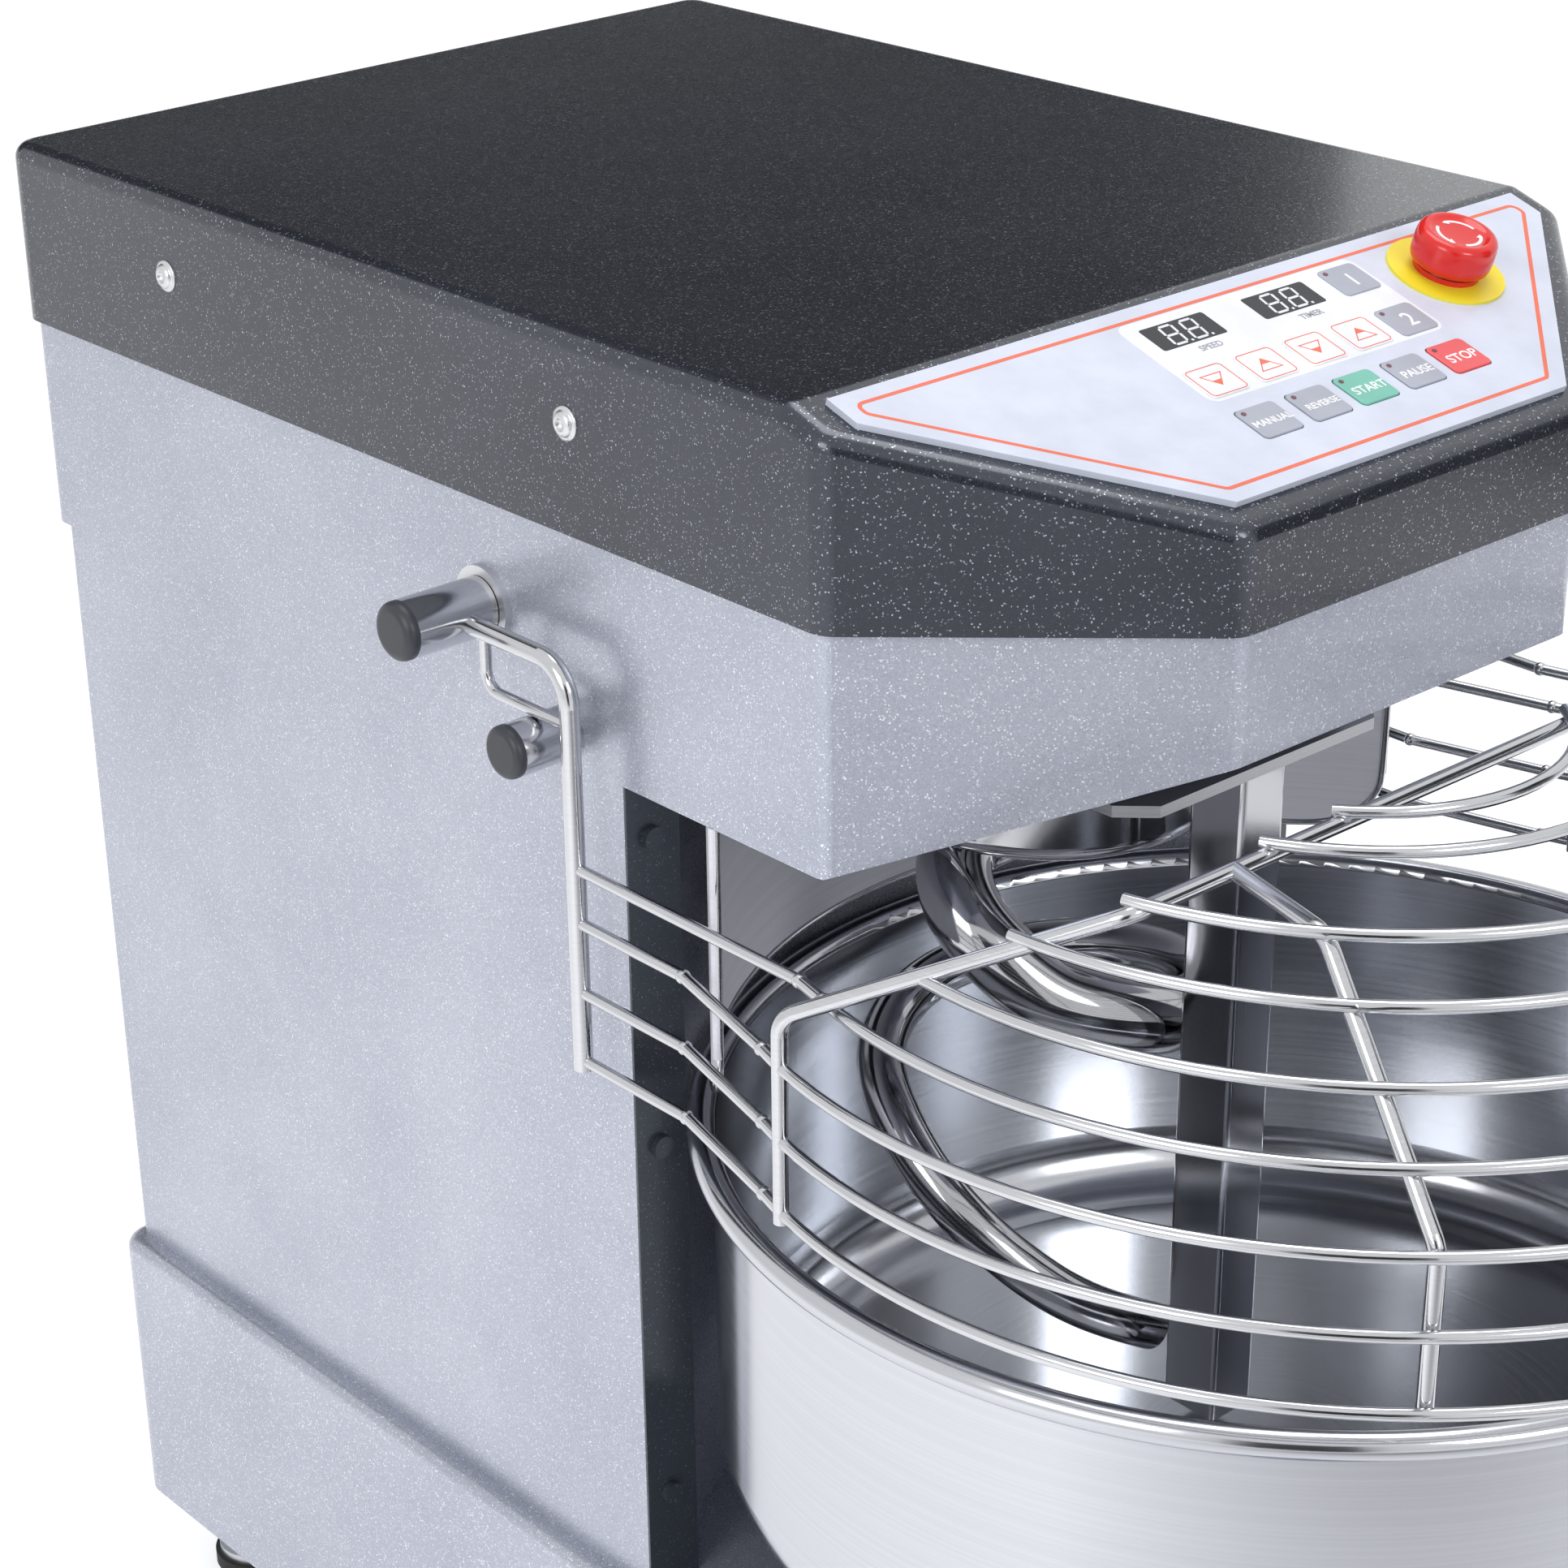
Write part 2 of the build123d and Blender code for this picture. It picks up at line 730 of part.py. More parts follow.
with BuildPart() as hook_bearings:
    for z in hook_bearing_heights:
        with BuildSketch(Plane.XY.offset(z)):
            with Locations((0, hook_y)):
                Circle(bearing_radius)
                Circle(shaft_radius + running_fit, mode=Mode.SUBTRACT)
        extrude(amount=bearing_width)
save(hook_bearings, "hook_bearings")

with BuildPart() as hook_pulley:
    with BuildSketch(Plane.XY.offset(hook_pulley_z)):
        with Locations((0, hook_y)):
            Circle(hook_pulley_radius)
            Circle(shaft_radius, mode=Mode.SUBTRACT)
            with PolarLocations(86, 6):
                Circle(28, mode=Mode.SUBTRACT)
    extrude(amount=hook_pulley_width)
save(hook_pulley, "hook_pulley")

motor_plate_z = head_bottom - 26

with BuildPart() as motor_bracket:
    with BuildSketch(Plane.XY.offset(motor_plate_z)):
        with Locations((0, spiral_motor_y)):
            Rectangle(2 * (column_half_width - sheet), 240)
            Circle(30, mode=Mode.SUBTRACT)
    extrude(amount=8)
save(motor_bracket, "motor_bracket")

with BuildPart() as spiral_motor:
    with BuildSketch(Plane.XY.offset(motor_plate_z - 230)):
        with Locations((0, spiral_motor_y)):
            Circle(88)
    extrude(amount=230)
    with BuildSketch(Plane.XY.offset(motor_plate_z - 190)):
        with Locations((0, spiral_motor_y)):
            with PolarLocations(92, 28):
                Rectangle(12, 4)
    extrude(amount=160)
    with BuildSketch(Plane.XY.offset(motor_plate_z - 60)):
        with Locations((0, spiral_motor_y)):
            Circle(14 + running_fit)
    extrude(amount=60, mode=Mode.SUBTRACT)
save(spiral_motor, "spiral_motor")

with BuildPart() as spiral_motor_pulley:
    with BuildSketch(Plane.XY.offset(hook_pulley_z)):
        with Locations((0, spiral_motor_y)):
            Circle(spiral_motor_pulley_radius)
    extrude(amount=hook_pulley_width)
    with BuildSketch(Plane.XY.offset(motor_plate_z - 50)):
        with Locations((0, spiral_motor_y)):
            Circle(14)
    extrude(amount=hook_pulley_z - motor_plate_z + 50)
save(spiral_motor_pulley, "spiral_motor_pulley")

with BuildPart() as spiral_belt:
    add(
        loop_belt(
            hook_y,
            hook_pulley_radius,
            spiral_motor_y,
            spiral_motor_pulley_radius,
            hook_pulley_width - 6,
            hook_pulley_z + 3,
        )
    )
save(spiral_belt, "spiral_belt")

with BuildPart() as electrical_box:
    with BuildSketch(Plane.XY.offset(head_floor)):
        with Locations((-175, 480)):
            RectangleRounded(120, 80, 4)
    extrude(amount=100)
save(electrical_box, "electrical_box")

# ---- Guard hinge ----
hub_radius = 15.0
hub_end = 296.0
pin_radius = 6.0
stop_hub_y = 52.0
stop_hub_z = head_bottom + 16

with BuildPart() as pivot_pins:
    for side in (-1, 1):
        wall = Plane(origin=(side * head_half_width, 0, 0), x_dir=(0, 1, 0), z_dir=(side, 0, 0))
        with BuildSketch(wall):
            with Locations((hinge_y, side * hinge_z)):
                Circle(20)
        extrude(amount=4)
        with BuildSketch(wall):
            with Locations((hinge_y, side * hinge_z)):
                Circle(pin_radius)
        extrude(amount=hub_end - head_half_width - 5)
save(pivot_pins, "pivot_pins")

with BuildPart() as guard_hub_tubes:
    for side in (-1, 1):
        inner = head_half_width + 4 + clear
        wall = Plane(origin=(side * inner, 0, 0), x_dir=(0, 1, 0), z_dir=(side, 0, 0))
        with BuildSketch(wall):
            with Locations((hinge_y, side * hinge_z)):
                Circle(hub_radius)
                Circle(pin_radius + running_fit, mode=Mode.SUBTRACT)
        extrude(amount=hub_end - inner)
save(guard_hub_tubes, "guard_hub_tubes")

with BuildPart() as guard_hub_caps:
    for side in (-1, 1):
        wall = Plane(origin=(side * hub_end, 0, 0), x_dir=(0, 1, 0), z_dir=(side, 0, 0))
        with BuildSketch(wall):
            with Locations((hinge_y, side * hinge_z)):
                Circle(hub_radius)
        extrude(amount=7)
    fillet(guard_hub_caps.faces().sort_by(Axis.X)[0].edges(), 5)
    fillet(guard_hub_caps.faces().sort_by(Axis.X)[-1].edges(), 5)
save(guard_hub_caps, "guard_hub_caps")

with BuildPart() as stop_hubs:
    for side in (-1, 1):
        wall = Plane(origin=(side * head_half_width, 0, 0), x_dir=(0, 1, 0), z_dir=(side, 0, 0))
        with BuildSketch(wall):
            with Locations((stop_hub_y, side * stop_hub_z)):
                Circle(13.5)
        extrude(amount=35)
save(stop_hubs, "stop_hubs")

with BuildPart() as stop_caps:
    for side in (-1, 1):
        wall = Plane(origin=(side * (head_half_width + 35), 0, 0), x_dir=(0, 1, 0), z_dir=(side, 0, 0))
        with BuildSketch(wall):
            with Locations((stop_hub_y, side * stop_hub_z)):
                Circle(13.5)
        extrude(amount=6)
    fillet(stop_caps.faces().sort_by(Axis.X)[0].edges(), 4)
    fillet(stop_caps.faces().sort_by(Axis.X)[-1].edges(), 4)
save(stop_caps, "stop_caps")


# ---- Guard: welded cage of round rod ----
def front_arc(radius, end_reach, height):
    """A level arc of hoop rod round the front; its ends stop end_reach behind the ring's centre."""
    half_chord = (radius**2 - end_reach**2) ** 0.5
    with BuildPart() as arc:
        with BuildLine() as path:
            ThreePointArc(
                (-half_chord, ring_y + end_reach, height),
                (0, ring_y - radius, height),
                (half_chord, ring_y + end_reach, height),
            )
        with BuildSketch(Plane(path.line @ 0, z_dir=path.line % 0)):
            Circle(hoop_rod / 2)
        sweep()
    return arc.part


def hoop(radius, height, join_reach, splay_reach):
    """A hoop: straight back to the upright rods, splayed out to the round front."""
    join = (radius**2 - join_reach**2) ** 0.5
    with BuildPart() as wire:
        with BuildLine() as path:
            ThreePointArc(
                (-join, ring_y + join_reach, height),
                (0, ring_y - radius, height),
                (join, ring_y + join_reach, height),
            )
        with BuildSketch(Plane(path.line @ 0, z_dir=path.line % 0)):
            Circle(hoop_rod / 2)
        sweep()
        for side in (-1, 1):
            corner = (side * join, ring_y + join_reach, height)
            splay = (side * guard_x, ring_y + splay_reach, height)
            start = (side * guard_x, guard_drop_y, height)
            for near, far in ((start, splay), (splay, corner)):
                run = Vector(*far) - Vector(*near)
                with BuildSketch(Plane(near, z_dir=run)):
                    Circle(hoop_rod / 2)
                extrude(amount=run.length)
                with Locations(far):
                    Sphere(weld_bead)
    return wire.part


rod_foot = hoop_heights[-1] - 5
cage_rods = []
for side in (-1, 1):
    x = side * guard_x
    cage_rods.append(
        rod(
            [(x, hinge_y + 29, hinge_z - 2), (x, guard_drop_y, hinge_z - 2), (x, guard_drop_y, rod_foot)],
            20,
            arm_rod,
        )
    )
    # stiffening rod under the arm, which rests on the stop hub
    rest_z = stop_hub_z + 13.5 + clear + hoop_rod / 2
    cage_rods.append(
        rod(
            [(x, hinge_y - 24, hinge_z - 2), (x, hinge_y - 24, rest_z), (x, guard_drop_y, rest_z)],
            10,
            hoop_rod,
        )
    )

# cross rod: post, slope, straight run in front of the head, slope, post
slant_x = head_half_width - 32
post_x = guard_x + 25
post_y = ring_y + (hoop_radius**2 - post_x**2) ** 0.5
post_top = head_bottom - 45
half_cross = [
    (slant_x, cross_rod_y, cross_rod_height),
    (post_x, post_y, post_top),
    (post_x, post_y, rod_foot),
]
cross_points = [(-px, py, pz) for px, py, pz in reversed(half_cross)] + half_cross
cage_rods.append(rod(cross_points, 14, cross_rod))

# struts that carry the rings, from the cross rod over the shoulder to the hoops
strut_radius = hoop_radius - hoop_rod / 2 - cross_rod / 2 + 1
strut_foot_x = 196.5
strut_foot_y = ring_y - (strut_radius**2 - strut_foot_x**2) ** 0.5
for side in (-1, 1):
    cage_rods.append(
        rod(
            [
                (side * 150, cross_rod_y, cross_rod_height),
                (side * 170, cross_rod_y - 68, cross_rod_height + 1),
                (side * strut_foot_x, strut_foot_y, hoop_heights[0]),
                (side * strut_foot_x, strut_foot_y, rod_foot),
            ],
            [18, 15],
            cross_rod,
        )
    )

for height in hoop_heights:
    cage_rods.append(hoop(hoop_radius, height, 95.0, 173.0))
cage_rods.append(hoop(top_hoop_radius, top_hoop_height, 70.0, 91.0))
# rings over the shoulder: radius, how far their ends reach behind the ring centre, height
ring_reach = cross_rod_y - ring_y + 4
rings = (
    (hoop_radius - 200, ring_reach, cross_rod_height + 5.5),
    (hoop_radius - 159, ring_reach, cross_rod_height + 5.5),
    (hoop_radius - 82, ring_reach + 3, cross_rod_height + 4),
    (hoop_radius - 63, ring_reach + 44, cross_rod_height - 19),
    (hoop_radius - 41, ring_reach + 83, cross_rod_height - 45),
)
for radius, end_reach, height in rings:
    cage_rods.append(front_arc(radius, end_reach, height))

with BuildPart() as guard_cage:
    for piece in cage_rods:
        add(piece)
    # the arms are cut round where they are welded to the hub tubes
    with BuildSketch(Plane.YZ):
        with Locations((hinge_y, hinge_z)):
            Circle(hub_radius)
    extrude(amount=400, both=True, mode=Mode.SUBTRACT)
save(guard_cage, "guard_cage")

# ---- Control panel on the facet ----
panel_thickness = 3.0
key_width = 25.0
key_height = 22.0
key_gap = clear
key_lift = 0.8
key_thickness = 3.0
key_rows = {"upper": -33.7, "middle": -70.6, "lower": -104.0}
key_places = {
    "speed_one_key": (80.0, key_rows["upper"]),
    "speed_two_key": (80.0, key_rows["middle"]),
    "first_timer_down_key": (-50.0, key_rows["middle"]),
    "first_timer_up_key": (-17.0, key_rows["middle"]),
    "second_timer_down_key": (16.0, key_rows["middle"]),
    "second_timer_up_key": (48.0, key_rows["middle"]),
    "manual_key": (-50.0, key_rows["lower"]),
    "reverse_key": (-17.0, key_rows["lower"]),
    "start_key": (15.0, key_rows["lower"]),
    "pause_key": (48.0, key_rows["lower"]),
    "stop_key": (80.0, key_rows["lower"]),
}
display_places = [(-34.0, key_rows["upper"]), (34.0, key_rows["upper"])]
display_width = 42.0
display_height = 18.0

with BuildPart() as control_panel:
    with BuildSketch(facet):
        with BuildLine():
            Polyline((-230, -8), (-230, -28), (-112, -144), (112, -144), (230, -28), (230, -8), close=True)
        make_face()
        with Locations(*key_places.values()):
            RectangleRounded(key_width + 2 * key_gap, key_height + 2 * key_gap, 3, mode=Mode.SUBTRACT)
        with Locations(*display_places):
            RectangleRounded(display_width, display_height, 1.5, mode=Mode.SUBTRACT)
        with Locations(e_stop_place):
            Circle(e_stop_barrel, mode=Mode.SUBTRACT)
    extrude(amount=panel_thickness)
save(control_panel, "control_panel")

with BuildPart() as display_windows:
    with BuildSketch(facet):
        with Locations(*display_places):
            RectangleRounded(display_width, display_height, 1.5)
    extrude(amount=panel_thickness)
save(display_windows, "display_windows")

for key_name, key_place in key_places.items():
    with BuildPart() as key:
        with BuildSketch(facet.offset(key_lift)):
            with Locations(key_place):
                RectangleRounded(key_width, key_height, 3)
        extrude(amount=key_thickness)
        fillet(key.faces().sort_by(Axis((0, 0, 0), facet.z_dir))[-1].edges(), 0.6)
    save(key, key_name)

# ---- Emergency stop ----
disc_thickness = 1.5
collar_height = 3.0
stem_radius = 6.0
stop_travel = 4.0

with BuildPart() as e_stop_disc:
    with BuildSketch(facet.offset(panel_thickness)):
        with Locations(e_stop_place):
            Circle(29)
            Circle(e_stop_barrel, mode=Mode.SUBTRACT)
    extrude(amount=disc_thickness)
save(e_stop_disc, "e_stop_disc")

with BuildPart() as e_stop_body:
    with BuildSketch(facet.offset(-45)):
        with Locations(e_stop_place):
            Circle(e_stop_barrel)
    extrude(amount=45 + panel_thickness + disc_thickness)
    with BuildSketch(facet.offset(panel_thickness + disc_thickness)):
        with Locations(e_stop_place):
            Circle(15)
    extrude(amount=collar_height)
    with BuildSketch(facet.offset(-40)):
        with Locations(e_stop_place):
            Circle(stem_radius + running_fit)
    extrude(amount=80, mode=Mode.SUBTRACT)
save(e_stop_body, "e_stop_body")

head_underside = panel_thickness + disc_thickness + collar_height + stop_travel + clear

with BuildPart() as e_stop_head:
    with BuildSketch(facet.offset(head_underside)):
        with Locations(e_stop_place):
            Circle(20)
    extrude(amount=13)
    fillet(e_stop_head.faces().sort_by(Axis((0, 0, 0), facet.z_dir))[-1].edges(), 6)
    with BuildSketch(facet.offset(-30)):
        with Locations(e_stop_place):
            Circle(stem_radius)
    extrude(amount=head_underside + 30)
save(e_stop_head, "e_stop_head")
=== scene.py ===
# %% [markdown]
# A floor-standing spiral dough mixer. The frame below holds every metal part at its real size;
# this file gives the parts their paint and polish, adds the small things that are printed or
# pressed on them, and lights them on a pale floor.

# %% Load the frame
from math import asin, cos, pi, radians, sin, tau

import bmesh
import bpy
from mathutils import Matrix, Vector


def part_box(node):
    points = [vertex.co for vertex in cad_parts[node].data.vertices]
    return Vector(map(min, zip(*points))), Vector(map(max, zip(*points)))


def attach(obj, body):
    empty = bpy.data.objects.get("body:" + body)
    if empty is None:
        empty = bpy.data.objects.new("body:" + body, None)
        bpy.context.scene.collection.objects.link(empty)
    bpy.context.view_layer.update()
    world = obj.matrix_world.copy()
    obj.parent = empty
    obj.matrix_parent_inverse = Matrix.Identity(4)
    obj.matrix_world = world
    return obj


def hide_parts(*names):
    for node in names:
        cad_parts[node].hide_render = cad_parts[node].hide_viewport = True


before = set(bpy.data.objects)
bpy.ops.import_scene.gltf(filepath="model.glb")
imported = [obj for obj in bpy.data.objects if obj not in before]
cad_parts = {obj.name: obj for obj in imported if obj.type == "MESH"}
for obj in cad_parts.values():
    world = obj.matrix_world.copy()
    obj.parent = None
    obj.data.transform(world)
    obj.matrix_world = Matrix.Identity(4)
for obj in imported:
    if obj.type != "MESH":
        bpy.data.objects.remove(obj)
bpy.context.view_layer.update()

# %% [markdown]
# Places are read from the frame's boxes, so that a piece follows its part if the part is resized.

# %% Reading places from the frame
MM = 0.001


def box_corners(node):
    """Lowest and highest corner of a node's box, in metres."""
    low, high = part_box(node)
    return Vector(low), Vector(high)


def box_centre(node):
    """Middle of a node's box, in metres."""
    low, high = box_corners(node)
    return (low + high) / 2


bowl_axis = box_centre("bowl")
bowl_low, bowl_high = box_corners("bowl")
print("bowl diameter", round((bowl_high - bowl_low).x, 3))

# %% [markdown]
# The camera stands at the left front, a little above the head, with a long lens, so the sides of
# the cabinet stay nearly parallel. A small shift of the frame puts the panel at the top right.

# %% Camera
camera_place = Vector((-1.2207, -1.2097, 1.4214))
camera_azimuth = radians(-38.90)
camera_pitch = radians(27.01)
camera_roll = radians(-1.82)

look = Vector((
    -sin(camera_azimuth) * cos(camera_pitch),
    cos(camera_azimuth) * cos(camera_pitch),
    -sin(camera_pitch),
))
level_right = look.cross(Vector((0, 0, 1))).normalized()
level_up = level_right.cross(look)
camera_right = level_right * cos(camera_roll) + level_up * sin(camera_roll)
camera_up = level_up * cos(camera_roll) - level_right * sin(camera_roll)

camera_data = bpy.data.cameras.new("camera")
camera = bpy.data.objects.new("camera", camera_data)
bpy.context.scene.collection.objects.link(camera)
camera_data.sensor_width = 36.0
camera_data.lens = 82.5
camera_data.shift_x = 0.090
camera_data.shift_y = 0.110
camera_data.clip_end = 50.0
camera_turn = Matrix((camera_right, camera_up, -look)).transposed()
camera.matrix_world = Matrix.Translation(camera_place) @ camera_turn.to_4x4()
bpy.context.scene.camera = camera
print("camera looks along", tuple(round(v, 3) for v in look))

# %% [markdown]
# The studio is a pale floor in a white room. Polished steel only looks like steel when it has
# something dark to reflect, so tall dark boards stand outside the picture, as they do round a
# real product stand.

# %% Studio floor, boards and lights
scene = bpy.context.scene
scene.view_settings.view_transform = "Standard"


def principled(name):
    """A new material with its shader, node list and link maker."""
    material = bpy.data.materials.new(name)
    material.use_nodes = True
    tree = material.node_tree
    return material, tree, tree.nodes["Principled BSDF"]


def plain_board(name, corners, colour):
    """A flat board of the studio, not part of the mixer."""
    mesh = bpy.data.meshes.new(name)
    shape = bmesh.new()
    shape.faces.new([shape.verts.new(corner) for corner in corners])
    shape.to_mesh(mesh)
    shape.free()
    board = bpy.data.objects.new(name, mesh)
    scene.collection.objects.link(board)
    material, tree, shader = principled(name)
    shader.inputs["Base Color"].default_value = (*colour, 1)
    shader.inputs["Roughness"].default_value = 0.9
    mesh.materials.append(material)
    return board, tree, shader


def floor_rectangle(west, south, east, north, height):
    """Corners of a level rectangle."""
    return [(west, south, height), (east, south, height), (east, north, height), (west, north, height)]


def upright_rectangle(start, end, bottom, top):
    """Corners of a wall between two points of the floor."""
    return [(*start, bottom), (*end, bottom), (*end, top), (*start, top)]


floor_reach = 8
floor_colour = (0.93, 0.93, 0.94)
floor_glow = 0.5
_floor, floor_tree, floor_shader = plain_board(
    "floor", floor_rectangle(-floor_reach, -floor_reach, floor_reach, floor_reach, 0), floor_colour
)


def seen_strength(tree, hidden, visible):
    """One strength for light that is seen, straight or in a mirror, and one for all other light."""
    rays = tree.nodes.new("ShaderNodeLightPath")
    seen = rays.outputs["Is Camera Ray"]
    for kind in ("Is Glossy Ray", "Is Transmission Ray"):
        either = tree.nodes.new("ShaderNodeMath")
        either.operation = "MAXIMUM"
        tree.links.new(seen, either.inputs[0])
        tree.links.new(rays.outputs[kind], either.inputs[1])
        seen = either.outputs[0]
    strength = tree.nodes.new("ShaderNodeMapRange")
    strength.inputs["To Min"].default_value = hidden
    strength.inputs["To Max"].default_value = visible
    tree.links.new(seen, strength.inputs["Value"])
    return strength.outputs["Result"]


world = bpy.data.worlds.new("studio")
scene.world = world
world.use_nodes = True
backdrop = world.node_tree.nodes["Background"]
backdrop.inputs["Color"].default_value = (1, 1, 1, 1)
room_light = 0.60
room_seen = 1.0
room_strength = seen_strength(world.node_tree, room_light, room_seen)
world.node_tree.links.new(room_strength, backdrop.inputs["Strength"])
floor_shader.inputs["Emission Color"].default_value = (1, 1, 1, 1)
floor_strength = seen_strength(floor_tree, 0.0, floor_glow)
floor_tree.links.new(floor_strength, floor_shader.inputs["Emission Strength"])


def soft_light(name, place, aim, size, power):
    """A square soft box that faces a point."""
    data = bpy.data.lights.new(name, "AREA")
    data.energy = power
    data.size = size
    lamp = bpy.data.objects.new(name, data)
    scene.collection.objects.link(lamp)
    lamp.location = place
    lamp.rotation_euler = (Vector(aim) - Vector(place)).to_track_quat("-Z", "Y").to_euler()


lamp_power = 22
column_middle = (0, 0, 0.7)
bowl_mouth = (0, -0.2, 0.6)
soft_light("left_soft_box", (-2.6, -0.6, 1.9), column_middle, 1.2, lamp_power)
soft_light("front_soft_box", (-0.3, -3.0, 2.2), bowl_mouth, 1.0, lamp_power)
soft_light("top_soft_box", (0.4, 0.2, 3.0), bowl_mouth, 1.4, lamp_power)


def dark_board(name, corners, colour=(0.02, 0.02, 0.025)):
    """A board that only polished surfaces see, for the dark bands in them."""
    board, tree, shader = plain_board(name, corners, colour)
    board.visible_camera = False
    board.visible_diffuse = False
    board.visible_shadow = False
    return tree, shader


dark_board("dark_board_left", upright_rectangle((-3.2, -2.4), (-2.0, -3.2), 0.0, 2.6))
dark_board("dark_board_right", upright_rectangle((1.6, -2.6), (2.3, -1.4), 0.0, 2.4))
dark_board("dark_board_back", upright_rectangle((-0.9, 3.6), (3.4, 2.6), 1.3, 4.6))
print("lights and boards set")

# %% [markdown]
# Every material is a small tree of nodes. These helpers add the steps that repeat: coordinates,
# a noise pattern, a colour ramp, a spread between two numbers, a bump and a mix.

# %% Steps of a material
def object_coordinates(tree, scale=(1, 1, 1), location=(0, 0, 0)):
    """Object coordinates through a Mapping node."""
    where = tree.nodes.new("ShaderNodeTexCoord")
    mapping = tree.nodes.new("ShaderNodeMapping")
    mapping.inputs["Scale"].default_value = scale
    mapping.inputs["Location"].default_value = location
    tree.links.new(where.outputs["Object"], mapping.inputs["Vector"])
    return mapping.outputs["Vector"]


def noise(tree, vector, scale, detail=4.0, roughness=0.55):
    """A noise pattern on the given coordinates."""
    node = tree.nodes.new("ShaderNodeTexNoise")
    node.inputs["Scale"].default_value = scale
    node.inputs["Detail"].default_value = detail
    node.inputs["Roughness"].default_value = roughness
    tree.links.new(vector, node.inputs["Vector"])
    return node.outputs["Fac"]


def ramp(tree, value, stops):
    """A colour ramp with stops of (position, colour)."""
    node = tree.nodes.new("ShaderNodeValToRGB")
    elements = node.color_ramp.elements
    while len(elements) < len(stops):
        elements.new(0.5)
    for element, (position, colour) in zip(elements, stops):
        element.position = position
        element.color = (*colour, 1)
    tree.links.new(value, node.inputs["Fac"])
    return node.outputs["Color"]


def spread(tree, value, low, high):
    """Spread a 0-1 value between two numbers."""
    node = tree.nodes.new("ShaderNodeMapRange")
    node.inputs["To Min"].default_value = low
    node.inputs["To Max"].default_value = high
    tree.links.new(value, node.inputs["Value"])
    return node.outputs["Result"]


def bump(tree, shader, value, strength, distance):
    """Raise the surface by a pattern."""
    node = tree.nodes.new("ShaderNodeBump")
    node.inputs["Strength"].default_value = strength
    node.inputs["Distance"].default_value = distance
    tree.links.new(value, node.inputs["Height"])
    tree.links.new(node.outputs["Normal"], shader.inputs["Normal"])


def mix_colour(tree, factor, first, second):
    """Mix two colour outputs by a factor output."""
    node = tree.nodes.new("ShaderNodeMix")
    node.data_type = "RGBA"
    tree.links.new(factor, node.inputs["Factor"])
    tree.links.new(first, node.inputs["A"])
    tree.links.new(second, node.inputs["B"])
    return node.outputs["Result"]


# %% [markdown]
# The bowl's outer wall mirrors the floor in front of it. A patch of floor there, seen only by
# polished steel, darkens softly towards its middle and so gives the wall its shading.

# %% Soft patch on the floor
patch_low, patch_high = (-2.5, -3.0), (0.9, -0.3)
patch_lift = 0.004
patch_middle_colour = (0.22, 0.22, 0.23)
patch_squeeze = (0.6, 0.75, 1)
patch_shift = (0.48, 1.24, 0)

patch_tree, patch_shader = dark_board("dark_patch", floor_rectangle(*patch_low, *patch_high, patch_lift))
patch_reach = patch_tree.nodes.new("ShaderNodeVectorMath")
patch_reach.operation = "LENGTH"
patch_where = object_coordinates(patch_tree, scale=patch_squeeze, location=patch_shift)
patch_tree.links.new(patch_where, patch_reach.inputs[0])
patch_fade = ramp(
    patch_tree, patch_reach.outputs["Value"], [(0.1, patch_middle_colour), (1.0, floor_colour)]
)
patch_tree.links.new(patch_fade, patch_shader.inputs["Base Color"])
patch_tree.links.new(patch_fade, patch_shader.inputs["Emission Color"])
patch_shader.inputs["Emission Strength"].default_value = floor_glow
print("floor patch laid")

# %% [markdown]
# The cabinet is powder coated in a silver grey full of metal flake. Each flake is a cell of a
# Voronoi pattern about half a millimetre across: most cells keep the paint's colour, a few are
# bright. A slow noise clouds the colour and a finer one gives the skin its orange peel.

# %% Flake paint
flake_cells = 1500.0
cloud_scale = 9.0
peel_scale = 420.0
peel_depth = 0.00025
coat_roughness = 0.12
roughness_vary = 0.07


def flake_paint(name, shade, light, flake, flake_share, roughness, metallic, coat):
    """Powder coat: clouded base colour, bright flakes and a fine orange peel."""
    material, tree, shader = principled(name)
    where = object_coordinates(tree)
    cloud = ramp(tree, noise(tree, where, cloud_scale), [(0.3, shade), (0.7, light)])
    cells = tree.nodes.new("ShaderNodeTexVoronoi")
    cells.inputs["Scale"].default_value = flake_cells
    tree.links.new(where, cells.inputs["Vector"])
    pick = tree.nodes.new("ShaderNodeSeparateColor")
    tree.links.new(cells.outputs["Color"], pick.inputs["Color"])
    bright = ramp(tree, pick.outputs["Red"], [(1 - flake_share, (0, 0, 0)), (1.0, (1, 1, 1))])
    grain = ramp(tree, pick.outputs["Green"], [(0.0, (0.86,) * 3), (1.0, (1.06,) * 3)])
    grained = tree.nodes.new("ShaderNodeMix")
    grained.data_type = "RGBA"
    grained.blend_type = "MULTIPLY"
    grained.inputs["Factor"].default_value = 1.0
    tree.links.new(cloud, grained.inputs["A"])
    tree.links.new(grain, grained.inputs["B"])
    flake_colour = tree.nodes.new("ShaderNodeRGB")
    flake_colour.outputs[0].default_value = (*flake, 1)
    coloured = mix_colour(tree, bright, grained.outputs["Result"], flake_colour.outputs[0])
    tree.links.new(coloured, shader.inputs["Base Color"])
    shader.inputs["Metallic"].default_value = metallic
    shader.inputs["Coat Weight"].default_value = coat
    shader.inputs["Coat Roughness"].default_value = coat_roughness
    polish = spread(tree, pick.outputs["Blue"], roughness - roughness_vary, roughness + roughness_vary)
    tree.links.new(polish, shader.inputs["Roughness"])
    bump(tree, shader, noise(tree, where, peel_scale, detail=2.0), 0.25, peel_depth)
    return material


